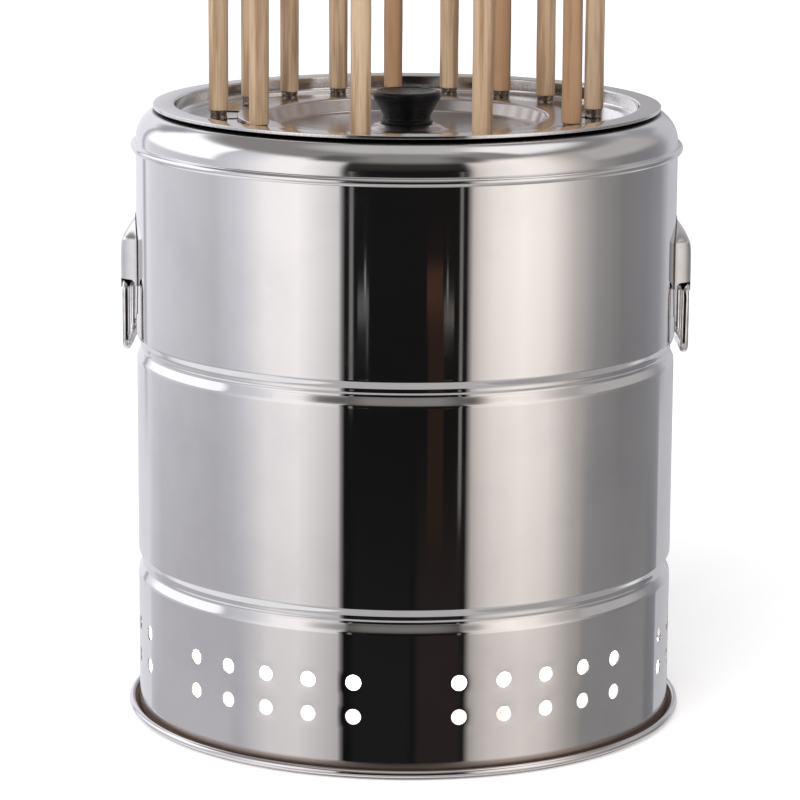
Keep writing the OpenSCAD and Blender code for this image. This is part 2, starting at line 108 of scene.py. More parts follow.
class GrillBody(bpy.types.PropertyGroup):
    """Sizes of the barrel, its foot and its shoulder"""

    sheet: length("Sheet", "Thickness of the sheet", 0.8)
    groove_low: length("Lower groove", "Height of the lower groove's valley", 85.7)
    groove_high: length("Upper groove", "Height of the upper groove's valley", 208.2)
    groove_height: length("Groove height", "Height of a groove, lip to lip", 15.4)
    groove_depth: length("Groove depth", "Depth of a groove", 2.3)
    vent_diameter: length("Vent", "Diameter of a vent", 8.5)
    vent_low: length("Lower vents", "Height of the lower row of vents", 33.3)
    vent_row_pitch: length("Vent rows", "Distance between the two rows of vents", 18.7)
    vent_groups: how_many("Vent groups", "Groups of vents round the barrel", 6)
    vent_columns: how_many("Vent columns", "Columns in a group", 5)
    vent_pitch: angle("Vent pitch", "Angle between columns", 9.6)
    vent_turn: angle("Vent turn", "Turn of the vent pattern", 0.6)
    shoulder_radius: length("Shoulder", "Radius of the quarter-round shoulder", 17.3)
    neck_bend: length("Neck bend", "Outer radius of the bend into the neck", 2.0)
    seam_bead: length("Seam bead", "Radius of the seam band's half-round section", 2.2)
    rim_gap: length("Rim gap", "Gap between the barrel and the base pan's rim", 2.2)
    rim_roll: length("Rim roll", "Radius of the roll along the base pan's rim", 1.9)
    channel_rise: length("Channel", "Height of the channel's bed at the barrel's foot", 0.8)
    vent_dimple: length("Vent dimple", "How far the sheet dips at a vent's edge", 0.05)


class GrillTop(bpy.types.PropertyGroup):
    """Sizes of the tray, the lid and its knob"""

    flange: length("Flange", "Thickness of the tray's folded flange", 2.0)
    floor_depth: length("Tray depth", "Depth of the tray's floor below the flange", 8.8)
    tray_inner: length("Tray inside", "Inner radius of the tray's wall", 128.2)
    tray_bend: length("Tray bend", "Radius of the bend at the tray's floor", 2.2)
    opening: length("Opening", "Radius of the opening in the tray's floor", 84.0)
    slots: how_many("Slots", "Skewer slots round the tray", 20)
    slot_circle: length("Slot circle", "Radius at which the skewers hang", 104.0)
    slot_width: length("Slot width", "Width of a slot", 7.0)
    slot_turn: angle("Slot turn", "Angle of the first slot from the front", -13.5)
    lid_hem: length("Lid hem", "Diameter of the lid's rolled edge", 1.8)
    dish_radius: length("Dish", "Radius of the lid's dish at its rim", 78.0)
    dish_depth: length("Dish depth", "Depth of the dish below the rim", 8.0)
    dish_draft: length("Dish draft", "Inward slope of the dish's side over its depth", 3.5)
    boss_radius: length("Boss", "Radius of the boss under the knob", 24.0)
    boss_height: length("Boss height", "Height of the boss", 3.3)
    boss_flat: length("Boss flat", "Radius of the boss's flat top", 15.5)
    screw_hole: length("Screw hole", "Radius of the hole for the knob's screw", 3.0)
    knob_foot: length("Knob foot", "Radius of the knob's foot", 14.5)
    knob_neck: length("Knob neck", "Radius of the knob's neck", 13.0)
    knob_bore: length("Knob bore", "Radius of the knob's bore", 2.55)
    knob_edge: length("Knob edge", "Radius of the knob's upper edge", 2.0)
    knob_dish: length("Knob dish", "Depth of the dish in the knob's top", 1.3)


class GrillHandles(bpy.types.PropertyGroup):
    """Sizes of the side handles and the skewers"""

    turn: angle("Handle angle", "Angle of the side handles from the front", 91.0)
    pivot_out: length("Pivot", "Distance from the barrel to the ring's pivot", 4.2)
    wire: length("Wire", "Diameter of the ring's wire", 4.4)
    ring_width: length("Ring width", "Distance between the ring's legs", 48.0)
    ring_bend: length("Ring bend", "Radius of the ring's corners", 5.0)
    plate: length("Plate", "Thickness of the bracket's sheet", 0.4)
    plate_width: length("Plate width", "Width of the bracket's plate", 56.0)
    plate_drop: length("Plate drop", "Depth of the plate below the pivot", 17.0)
    plate_rise: length("Plate rise", "Height of the plate above the cover", 2.0)
    plate_foot: length("Plate foot", "Narrowing of the plate's foot, each side", 4.0)
    cover_width: length("Cover width", "Width of the cover's outer face", 44.0)
    cover_out: length("Cover", "How far the cover stands out from the barrel", 7.7)
    cover_low: length("Cover low", "Height of the cover's lower edge over the pivot", 2.7)
    cover_height: length("Cover height", "Height of the cover's outer face", 22.5)
    cover_rise: length("Cover rise", "Rise of the cover's sloped top", 10.0)
    cover_slant: length("Cover slant", "How far the cover's lower edge drops towards the barrel", 3.4)
    shield_taper: number("Shield taper", "Narrowing of the plate's top per height, each side", 1.1)
    lip_width: length("Lip width", "Width of the lip in front of the pivot", 35.6)
    lip_drop: length("Lip drop", "Depth of the lip below the pivot", 3.2)
    lip_corner: length("Lip corner", "Radius of the lip's corners", 1.6)
    knuckle_length: length("Knuckle", "Length of the knuckle that holds the ring", 30.0)
    handle_wander: length("Handle wander", "How far a turned handle strays from round", 0.22)
    rod_point: length("Rod point", "Length of a rod's ground point", 12.0)


class GrillFinish(bpy.types.PropertyGroup):
    """Colours of the finishes"""

    steel: colour("Steel", "Polished sheet", (0.80, 0.79, 0.785))
    steel_shade: colour("Steel shade", "Duller patches of the polished sheet", (0.74, 0.73, 0.73))
    inner: colour("Inner steel", "Plain sheet of the pans", (0.66, 0.655, 0.65))
    cage: colour("Cage steel", "Sheet of the charcoal cage", (0.44, 0.42, 0.40))
    lid: colour("Lid", "Duller sheet of the lid", (0.58, 0.555, 0.545))
    # painted shade: the shoulder turns to this dark colour towards its neck, standing in for the shade in
    # the gap under the tray's flange
    gap_shade: colour("Gap shade", "Dull steel in the gap under the tray's flange", (0.05, 0.045, 0.04))
    # painted shade: the barrel's foot and the base pan's channel turn to this colour, which stands in for
    # the shade in the channel
    crevice_shade: colour("Crevice_shade", "Painted_shade in the base pan's channel", (0.46, 0.39, 0.35))
    knob: colour("Knob", "Black moulding", (0.0035, 0.0035, 0.004))
    wood: colour("Wood", "Pale wood", (0.60, 0.44, 0.29))
    wood_warm: colour("Warm wood", "Redder wood of some handles", (0.46, 0.275, 0.155))
    wood_grain: colour("Wood grain", "Darker grain of the wood", (0.30, 0.18, 0.10))
    ferrule: colour("Ferrule", "Worn ferrule", (0.24, 0.205, 0.175))


class GrillStudio(bpy.types.PropertyGroup):
    """Camera and light"""

    lens: number("Lens", "Focal length", 164.7, "CAMERA")
    distance: number("Distance", "Camera's distance", 2.0146, "LENGTH")
    height: number("Height", "Camera's height", 0.5948, "LENGTH")
    tilt: angle("Tilt", "How far the camera looks down", 11.787)
    roll: angle("Roll", "Camera's roll", 0.353)
    shift: number("Shift", "Camera's sideways shift", -0.00634)
    sun: number("Sun", "Strength of the soft front lamp", 2.2)
    sun_spread: angle("Sun spread", "Softness of the front lamp", 50.0)
    sun_pitch: angle("Sun pitch", "How far the front lamp leans back", 48.0)
    sun_lean: angle("Sun lean", "How far the front lamp leans sideways", -22.0)
    inside: number("Inside", "Power of the lamp behind the vents", 4.5, "POWER")
    inside_size: length("Inside size", "Radius of the lamp behind the vents", 20.0)
    inside_height: length("Inside height", "Height of the lamp behind the vents", 45.0)
    floor: colour("Floor", "White floor", (0.86, 0.86, 0.86))
    floor_glow: number("Floor glow", "Brightness that the camera adds to the floor", 0.36)


# Node helpers

def add(tree, kind, inputs=None, **settings):
    """Adds a node; an input takes a value or another node's socket."""
    node = tree.nodes.new(kind)
    for key, value in settings.items():
        setattr(node, key, value)
    for key, value in (inputs or {}).items():
        if isinstance(value, bpy.types.NodeSocket):
            tree.links.new(value, node.inputs[key])
        else:
            node.inputs[key].default_value = value
    return node


def maths(tree, operation, *values):
    """Result of a Math node."""
    return add(tree, "ShaderNodeMath", dict(enumerate(values)), operation=operation).outputs[0]


def split(tree, vector):
    """X, Y and Z of a vector."""
    return add(tree, "ShaderNodeSeparateXYZ", {"Vector": vector}).outputs


def join(tree, x, y, z):
    """A vector from three values."""
    return add(tree, "ShaderNodeCombineXYZ", {"X": x, "Y": y, "Z": z}).outputs[0]


def new_tree(name, kind, inputs, outputs):
    """A node tree with its sockets, given as (name, socket type, default)."""
    tree = bpy.data.node_groups.new(name, kind)
    for label, socket_type, value in inputs:
        socket = tree.interface.new_socket(label, in_out="INPUT", socket_type=socket_type)
        if value is not None:
            socket.default_value = value
    for label, socket_type in outputs:
        tree.interface.new_socket(label, in_out="OUTPUT", socket_type=socket_type)
    return tree


def noise_at(tree, vector, scale, detail=2.0, roughness=0.5):
    """Value of a noise texture."""
    inputs = {"Vector": vector, "Scale": scale, "Detail": detail, "Roughness": roughness}
    return add(tree, "ShaderNodeTexNoise", inputs).outputs[0]


def ramp(tree, value, low, high, to_low=0.0, to_high=1.0):
    """A value mapped from one range to another, and held inside it."""
    inputs = {"Value": value, "From Min": low, "From Max": high, "To Min": to_low, "To Max": to_high}
    return add(tree, "ShaderNodeMapRange", inputs, interpolation_type="SMOOTHSTEP").outputs[0]


# Geometry Nodes: a flat sector repeated and bent round the axis

def wrap_tree():
    """The tree that repeats a sector of (angle, radius, height) points and bends it round the axis."""
    name = "Wrap sectors"
    if name in bpy.data.node_groups:
        return bpy.data.node_groups[name]
    inputs = [
        ("Sector", "NodeSocketGeometry", None),
        ("Copies", "NodeSocketInt", 6),
        ("Turn", "NodeSocketFloat", 0.0),
        ("Centre X", "NodeSocketFloat", 0.0),
        ("Centre Y", "NodeSocketFloat", 0.0),
        ("Finish", "NodeSocketMaterial", None),
    ]
    tree = new_tree(name, "GeometryNodeTree", inputs, [("Wall", "NodeSocketGeometry")])
    sizes = add(tree, "NodeGroupInput").outputs
    step = join(tree, maths(tree, "DIVIDE", math.tau, sizes["Copies"]), 0.0, 0.0)
    line = add(tree, "GeometryNodeMeshLine", {"Count": sizes["Copies"], "Offset": step}).outputs[0]
    copies = add(tree, "GeometryNodeInstanceOnPoints", {"Points": line, "Instance": sizes["Sector"]})
    flat = add(tree, "GeometryNodeRealizeInstances", {"Geometry": copies.outputs[0]}).outputs[0]
    along, radius, height = split(tree, add(tree, "GeometryNodeInputPosition").outputs[0])
    turn = maths(tree, "ADD", along, sizes["Turn"])
    across = maths(tree, "MULTIPLY", radius, maths(tree, "SINE", turn))
    towards = maths(tree, "MULTIPLY", radius, maths(tree, "COSINE", turn))
    x = maths(tree, "ADD", sizes["Centre X"], across)
    y = maths(tree, "SUBTRACT", sizes["Centre Y"], towards)
    bend = {"Geometry": flat, "Position": join(tree, x, y, height)}
    bent = add(tree, "GeometryNodeSetPosition", bend).outputs[0]
    merge = {"Geometry": bent, "Distance": MERGE_DISTANCE}
    whole = add(tree, "GeometryNodeMergeByDistance", merge).outputs[0]
    dress = {"Geometry": whole, "Material": sizes["Finish"]}
    add(tree, "NodeGroupOutput", {"Wall": add(tree, "GeometryNodeSetMaterial", dress).outputs[0]})
    return tree


def keep_evaluated(piece):
    """Turns the piece's modifiers into a plain mesh."""
    mesh = bpy.data.meshes.new_from_object(piece.evaluated_get(bpy.context.evaluated_depsgraph_get()))
    old = piece.data
    piece.modifiers.clear()
    piece.data = mesh
    bpy.data.meshes.remove(old)
    mesh.name = piece.name


def run_tree(piece, tree, **values):
    """Runs a Geometry Nodes tree on a piece and keeps its result."""
    modifier = piece.modifiers.new(tree.name, "NODES")
    modifier.node_group = tree
    sockets = {item.name: item.identifier for item in tree.interface.items_tree if item.in_out == "INPUT"}
    for label, value in values.items():
        modifier[sockets[label.replace("_", " ")]] = value
    keep_evaluated(piece)


# Meshes

def new_piece(name, points, faces):
    """An object from points and faces."""
    mesh = bpy.data.meshes.new(name)
    mesh.from_pydata(points, [], faces)
    piece = bpy.data.objects.new(name, mesh)
    bpy.context.scene.collection.objects.link(piece)
    return piece


def face_outwards(piece):
    """Merges doubles and turns the faces of a closed shell outwards."""
    mesh = bmesh.new()
    mesh.from_mesh(piece.data)
    bmesh.ops.remove_doubles(mesh, verts=mesh.verts, dist=MERGE_DISTANCE)
    bmesh.ops.recalc_face_normals(mesh, faces=mesh.faces)
    mesh.to_mesh(piece.data)
    mesh.free()


def face_towards(piece, direction):
    """Turns the faces of an open sheet to the side that a direction points to."""
    if sum(face.normal.dot(direction) * face.area for face in piece.data.polygons) < 0:
        piece.data.flip_normals()


def settle(piece, body, nodes, sharp=32):
    """Smooth shading and the frame's calls for a finished piece."""
    piece.data.shade_smooth()
    piece.data.set_sharp_from_angle(angle=math.radians(sharp))
    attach(piece, body)
    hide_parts(*nodes)


def paint(piece, finish):
    """Gives a piece one material."""
    piece.data.materials.clear()
    piece.data.materials.append(finish)


def spread(start, stop, steps):
    """Evenly spaced values, both ends included."""
    return [start + (stop - start) * i / steps for i in range(steps + 1)]


def arc(centre, radius, start, stop, steps=8):
    """Points of an arc in a profile, with angles in degrees from the radius towards the height."""
    turns = [math.radians(a) for a in spread(start, stop, steps)]
    return [(centre[0] + radius * math.cos(a), centre[1] + radius * math.sin(a)) for a in turns]


def eased(points, steps):
    """Points of a smooth curve through the given ones."""
    ends = [points[0], *points, points[-1]]
    curve = []
    for before, start, stop, after in zip(ends, ends[1:], ends[2:], ends[3:]):
        for t in spread(0.0, 1.0, steps)[:-1]:
            curve.append(tuple(
                b + t * (c - a) / 2 + t * t * (a - 2.5 * b + 2 * c - d / 2)
                + t ** 3 * (1.5 * b - a / 2 - 1.5 * c + d / 2)
                for a, b, c, d in zip(before, start, stop, after)))
    return curve + [points[-1]]


def sheet_outline(line, thickness):
    """Closed outline of a sheet, on the left of an open line of (radius, height) points."""
    points = [Vector(p) for p in line]
    sides = []
    for here, after in zip(points, points[1:]):
        along = (after - here).normalized()
        sides.append(Vector((-along.y, along.x)))
    inner = []
    for i, point in enumerate(points):
        before, after = sides[max(i - 1, 0)], sides[min(i, len(sides) - 1)]
        inner.append(point + (before + after) * thickness / (1 + before.dot(after)))
    return [tuple(p) for p in points] + [tuple(p) for p in reversed(inner)]


def turned(name, outline, finish, segments=240, centre=(0.0, 0.0)):
    """A closed outline of (radius, height) points, turned round the axis or round another centre."""
    step = math.tau / segments
    count = len(outline)
    points = [(a, r, z) for a in (0.0, step) for r, z in outline]
    faces = [(i, (i + 1) % count, count + (i + 1) % count, count + i) for i in range(count)]
    piece = new_piece(name, points, faces)
    run_tree(piece, wrap_tree(), Copies=segments, Centre_X=centre[0], Centre_Y=centre[1], Finish=finish)
    face_outwards(piece)
    return piece


def quads(faces, first, width, rows):
    """Adds the quads between rows of points, each of the given width."""
    for j in range(rows - 1):
        for i in range(width - 1):
            corner = first + j * width + i
            faces.append((corner, corner + 1, corner + width + 1, corner + width))


def grid(points, faces, columns, rows):
    """Adds a grid of quads; columns are angles and rows are (radius, height) points."""
    first = len(points)
    points.extend((a, r, z) for r, z in rows for a in columns)
    quads(faces, first, len(columns), len(rows))


def hole_cell(points, faces, middle, half, radius, hole, dimple, sides=8, rings=5):
    """Adds a cell of a round wall with a dimpled hole; middle and half are (angle, height)."""
    first_corner, crowding, dimple_power = math.radians(-135), 1.6, 3
    count = 4 * sides
    edge = spread(-1.0, 1.0, sides)[:-1]
    border = [(t, -1.0) for t in edge] + [(1.0, t) for t in edge]
    border += [(-t, 1.0) for t in edge] + [(-1.0, -t) for t in edge]
    first = len(points)
    for ring in range(rings + 1):
        share = (ring / rings) ** crowding
        for i, (s, t) in enumerate(border):
            turn = first_corner + math.tau * i / count
            hole_a, hole_z = hole * math.cos(turn) / radius, hole * math.sin(turn)
            a = hole_a + (half[0] * s - hole_a) * share
            z = hole_z + (half[1] * t - hole_z) * share
            points.append((middle[0] + a, radius - dimple * (1 - share) ** dimple_power, middle[1] + z))
    for ring in range(rings):
        for i in range(count):
            here, after = first + ring * count, first + (ring + 1) * count
            j = (i + 1) % count
            faces.append((here + i, after + i, after + j, here + j))


def thicken(piece, thickness, inside=None, cut=None):
    """Gives an open sheet its inner wall; that wall and the cut edges may have finishes of their own."""
    modifier = piece.modifiers.new("Sheet", "SOLIDIFY")
    modifier.thickness = thickness
    modifier.offset = -1.0
    if inside:
        piece.data.materials.append(inside)
        modifier.material_offset = 1
    if cut:
        piece.data.materials.append(cut)
        modifier.material_offset_rim = len(piece.data.materials) - 1
    keep_evaluated(piece)


def tube(name, path, radius, finish, sides=20, closed=False):
    """A round wire along a path of points."""
    count = len(path)
    points, faces = [], []
    normal = None
    for i, here in enumerate(path):
        before = path[i - 1] if closed or i > 0 else here
        after = path[(i + 1) % count] if closed or i < count - 1 else here
        along = (after - before).normalized()
        if normal is None:
            normal = along.orthogonal().normalized()
        normal = (normal - along * normal.dot(along)).normalized()
        across = along.cross(normal)
        for k in range(sides):
            turn = math.tau * k / sides
            points.append(here + (normal * math.cos(turn) + across * math.sin(turn)) * radius)
    for i in range(count if closed else count - 1):
        j = (i + 1) % count
        for k in range(sides):
            m = (k + 1) % sides
            faces.append((i * sides + k, i * sides + m, j * sides + m, j * sides + k))
    if not closed:
        faces.append(tuple(range(sides)))
        faces.append(tuple(range((count - 1) * sides, count * sides)))
    piece = new_piece(name, points, faces)
    paint(piece, finish)
    face_outwards(piece)
    return piece


def bend_path(corners, bend, closed, steps=8):
    """A path of straight runs whose corners are rounded."""
    count = len(corners)
    path = []
    for i, corner in enumerate(corners):
        if not closed and i in (0, count - 1):
            path.append(corner.copy())
            continue
        back = (corners[i - 1] - corner).normalized()
        ahead = (corners[(i + 1) % count] - corner).normalized()
        half = back.angle(ahead) / 2
        centre = corner + (back + ahead).normalized() * bend / math.sin(half)
        start = corner + back * bend / math.tan(half) - centre
        stop = corner + ahead * bend / math.tan(half) - centre
        for t in spread(0.0, 1.0, steps):
            path.append(centre + start.slerp(stop, t).normalized() * bend)
    return path


def join_pieces(main, *others):
    """Joins other pieces into the first one."""
    mesh = bmesh.new()
    for piece in (main, *others):
        mesh.from_mesh(piece.data)
    mesh.to_mesh(main.data)
    mesh.free()
    for piece in others:
        bpy.data.objects.remove(piece)


# Shader groups and materials

def round_marks_group():
    """Marks that run along a turned wall, lines that run round it, and broad smudges."""
    name = "Sheet marks"
    if name in bpy.data.node_groups:
        return bpy.data.node_groups[name]
    inputs = [
        ("Marks Scale", "NodeSocketFloat", 60.0),
        ("Lines Scale", "NodeSocketFloat", 900.0),
        ("Smudge Scale", "NodeSocketFloat", 14.0),
    ]
    outputs = ("Marks", "Lines", "Smudges", "Dents", "Radius", "Height")
    tree = new_tree(name, "ShaderNodeTree", inputs, [(label, "NodeSocketFloat") for label in outputs])
    sizes = add(tree, "NodeGroupInput").outputs
    place = add(tree, "ShaderNodeTexCoord").outputs["Object"]
    x, y, z = split(tree, place)
    flat = join(tree, x, y, 0.0)
    radius = add(tree, "ShaderNodeVectorMath", {0: flat}, operation="LENGTH").outputs["Value"]
    safe = maths(tree, "MAXIMUM", radius, MM)
    across, along = (maths(tree, "DIVIDE", side, safe) for side in (x, y))
    around = join(tree, across, along, maths(tree, "MULTIPLY", z, 3.0))
    section = join(tree, radius, maths(tree, "MULTIPLY", z, 1.3), 0.0)
    marks = noise_at(tree, around, sizes["Marks Scale"], 3.0, 0.6)
    lines = noise_at(tree, section, sizes["Lines Scale"], 3.0, 0.7)
    smudges = noise_at(tree, place, sizes["Smudge Scale"], 5.0, 0.62)
    dents = noise_at(tree, place, 11.0, 1.0, 0.4)
    add(tree, "NodeGroupOutput", dict(zip(outputs, (marks, lines, smudges, dents, radius, z))))
    return tree


def panel_group():
    """Mask of a soft-edged panel of the room, by the angles round and up from the front."""
    name = "Panel"
    if name in bpy.data.node_groups:
        return bpy.data.node_groups[name]
    labels = ("Turn", "Rise", "Left", "Right", "Low", "High", "Soft")
    inputs = [(label, "NodeSocketFloat", 0.0) for label in labels]
    tree = new_tree(name, "ShaderNodeTree", inputs, [("Mask", "NodeSocketFloat")])
    edges = add(tree, "NodeGroupInput").outputs
    mask = 1.0
    for value, low, high in (("Turn", "Left", "Right"), ("Rise", "Low", "High")):
        for edge, first, last in ((low, "SUBTRACT", "ADD"), (high, "ADD", "SUBTRACT")):
            start = maths(tree, first, edges[edge], edges["Soft"])
            stop = maths(tree, last, edges[edge], edges["Soft"])
            mask = maths(tree, "MULTIPLY", ramp(tree, edges[value], start, stop), mask)
    add(tree, "NodeGroupOutput", {"Mask": mask})
    return tree


def new_material(name):
    """A material with a bare Principled shader, its tree and that shader."""
    material = bpy.data.materials.new(name)
    material.use_nodes = True
    tree = material.node_tree
    tree.nodes.clear()
    shader = add(tree, "ShaderNodeBsdfPrincipled")
    add(tree, "ShaderNodeOutputMaterial", {"Surface": shader.outputs[0]})
    return material, tree, shader


def feed(tree, shader, **sockets):
    """Links values to the shader's sockets."""
    for label, value in sockets.items():
        tree.links.new(value, shader.inputs[label.replace("_", " ")])


def mix(tree, share, low, high):
    """A colour between two others, each a colour or a socket."""
    low, high = (c if isinstance(c, bpy.types.NodeSocket) else (*c, 1.0) for c in (low, high))
    return add(tree, "ShaderNodeMix", {0: share, 6: low, 7: high}, data_type="RGBA").outputs[2]


def bumped(tree, height, distance):
    """Normal of a bump."""
    return add(tree, "ShaderNodeBump", {"Height": height, "Distance": distance, "Strength": 1.0}).outputs[0]


def weighed(tree, *terms):
    """Sum of values times their weights."""
    total = None
    for value, weight in terms:
        part = maths(tree, "MULTIPLY", value, weight)
        total = part if total is None else maths(tree, "ADD", total, part)
    return total


def sheet_finish(name, low, high, rough, marks=0.0, lines=0.0, dents=0.0,
                 mark_scale=60.0, smudge_scale=14.0, crevice_shade=None, streaks=None):
    """Metal sheet between two shades.

    Rough is its least and most roughness, and marks, lines and dents are heights in millimetres.
    Crevice shade is painted shade: a colour, the output that it follows, and the millimetres between which
    it sets in, darkening the sheet towards a crevice. Streaks is the share of a darker shade in the marks,
    and the heights in millimetres between which it shows."""
    material, tree, shader = new_material(name)
    group = add(tree, "ShaderNodeGroup", node_tree=round_marks_group())
    group.inputs["Marks Scale"].default_value = mark_scale
    group.inputs["Smudge Scale"].default_value = smudge_scale
    out = group.outputs
    shader.inputs["Metallic"].default_value = 1.0
    dull = ramp(tree, out["Smudges"], 0.42, 0.72)
    shade = mix(tree, dull, high, low)
    sheen = ramp(tree, out["Smudges"], 0.35, 0.75, *rough)
    if streaks:
        share, low_z, high_z = streaks
        edge = 0.5
        drawn = ramp(tree, out["Marks"], 0.46, 0.66, 0.0, share)
        for start, stop in ((low_z, low_z + edge), (high_z, high_z - edge)):
            drawn = maths(tree, "MULTIPLY", drawn, ramp(tree, out["Height"], start * MM, stop * MM))
        shade = mix(tree, drawn, shade, darker(low, 0.45))
    # painted shade: the colour turns darker towards a crevice; the roughness rises there too
    if crevice_shade:
        crevice_mask = ramp(tree, out[crevice_shade[1]], crevice_shade[2] * MM, crevice_shade[3] * MM)
        shade = mix(tree, crevice_mask, shade, crevice_shade[0])
        sheen = maths(tree, "MULTIPLY_ADD", crevice_mask, 0.3, sheen)
    feed(tree, shader, Base_Color=shade, Roughness=sheen)
    height = weighed(tree, (out["Marks"], marks), (out["Lines"], lines), (out["Dents"], dents))
    feed(tree, shader, Normal=bumped(tree, height, MM))
    return material


def wood_finish(name, pale, warm, dark):
    """Bare turned wood with long dark grain along the handle, between a pale and a warm tone."""
    material, tree, shader = new_material(name)
    x, y, z = split(tree, add(tree, "ShaderNodeTexCoord").outputs["Object"])
    fibre = noise_at(tree, join(tree, x, y, maths(tree, "MULTIPLY", z, 0.035)), 900.0, 4.0, 0.65)
    streak = noise_at(tree, join(tree, x, y, maths(tree, "MULTIPLY", z, 0.05)), 210.0, 3.0, 0.55)
    board = noise_at(tree, join(tree, x, y, 0.0), 23.0, 1.0, 0.5)
    grain = weighed(tree, (ramp(tree, fibre, 0.44, 0.70), 0.30), (ramp(tree, streak, 0.44, 0.62), 0.70))
    tone = mix(tree, ramp(tree, board, 0.38, 0.62), pale, warm)
    feed(tree, shader, Base_Color=mix(tree, grain, tone, dark))
    feed(tree, shader, Roughness=ramp(tree, fibre, 0.3, 0.8, 0.5, 0.72))
    feed(tree, shader, Normal=bumped(tree, weighed(tree, (fibre, 0.04), (streak, 0.06)), MM))
    return material


def knob_finish(finish):
    """Black moulding with a faint moulded skin."""
    material, tree, shader = new_material("Knob black")
    place = add(tree, "ShaderNodeTexCoord").outputs["Object"]
    skin = noise_at(tree, place, 900.0, 3.0, 0.6)
    dust = noise_at(tree, place, 160.0, 5.0, 0.7)
    pale = tuple(c + 0.006 for c in finish.knob)
    feed(tree, shader, Base_Color=mix(tree, ramp(tree, dust, 0.55, 0.8), finish.knob, pale))
    feed(tree, shader, Roughness=ramp(tree, dust, 0.35, 0.7, 0.24, 0.36))
    feed(tree, shader, Normal=bumped(tree, skin, 0.008 * MM))
    shader.inputs["IOR"].default_value = 1.32
    return material


FINISHES = {}


def darker(shade, share=0.8):
    """A darker shade of a colour."""
    return tuple(c * share for c in shade)


def finish_named(name):
    """A finish by name, made once."""
    if name in FINISHES:
        return FINISHES[name]
    finish = bpy.context.scene.grill_finish
    steel, shade = tuple(finish.steel), tuple(finish.steel_shade)
    inner, cage, ferrule = tuple(finish.inner), tuple(finish.cage), tuple(finish.ferrule)
    lid, crevice_shade, gap_shade = tuple(finish.lid), tuple(finish.crevice_shade), tuple(finish.gap_shade)
    wood, warm_wood, grain = tuple(finish.wood), tuple(finish.wood_warm), tuple(finish.wood_grain)
    mid_wood = tuple((2 * a + b) / 3 for a, b in zip(wood, warm_wood))
    made = {
        # the barrel turns darker towards its foot, and the base pan inside its rim: painted shade of the
        # channel between them
        "barrel": lambda: sheet_finish("Barrel sheet", shade, steel, (0.03, 0.07), dents=0.015,
                                       crevice_shade=(crevice_shade, "Height", 9.2, 7.4)),
        "pan": lambda: sheet_finish("Base sheet", shade, steel, (0.06, 0.14),
                                    crevice_shade=(crevice_shade, "Radius", 153.6, 152.6)),
        "cut edge": lambda: sheet_finish("Cut edge", darker(cage), cage, (0.6, 0.8)),
        "lining": lambda: sheet_finish("Barrel lining", inner, steel, (0.6, 0.8)),
        # the shoulder turns darker towards its neck: painted shade of the gap under the tray's flange
        "shoulder": lambda: sheet_finish("Shoulder sheet", shade, steel, (0.07, 0.15), marks=0.004,
                                         dents=0.09, crevice_shade=(gap_shade, "Radius", 141.4, 139.6)),
        "tray": lambda: sheet_finish("Tray sheet", shade, steel, (0.08, 0.18), marks=0.008, lines=0.002,
                                     mark_scale=170.0, streaks=(0.35, 334.3, 342.3)),
        "lid": lambda: sheet_finish("Lid sheet", darker(lid, 0.93), lid, (0.17, 0.25), marks=0.03,
                                    lines=0.003, dents=0.05),
        "bracket": lambda: sheet_finish("Bracket sheet", shade, steel, (0.16, 0.26), smudge_scale=60.0),
        "wire": lambda: sheet_finish("Ring wire", darker(shade), steel, (0.07, 0.16), smudge_scale=90.0),
        "inner": lambda: sheet_finish("Pan sheet", darker(inner), inner, (0.45, 0.62), lines=0.006),
        "cage": lambda: sheet_finish("Cage sheet", darker(cage), cage, (0.3, 0.5), marks=0.01),
        "ferrule": lambda: sheet_finish("Ferrule steel", darker(ferrule), ferrule, (0.2, 0.45),
                                        smudge_scale=260.0),
        "rod": lambda: sheet_finish("Rod steel", darker(inner), inner, (0.2, 0.34), smudge_scale=120.0),
        "wood": lambda: wood_finish("Handle wood", wood, mid_wood, grain),
        "pale wood": lambda: wood_finish("Pale handle wood", wood, wood, grain),
        "warm wood": lambda: wood_finish("Warm handle wood", warm_wood, darker(warm_wood, 0.88), grain),
        "knob": lambda: knob_finish(finish),
    }
    FINISHES[name] = made[name]()
    return FINISHES[name]


# Operators

class GrillOperator(bpy.types.Operator):
    """Base of the grill's operators"""

    bl_options = {"REGISTER", "UNDO"}


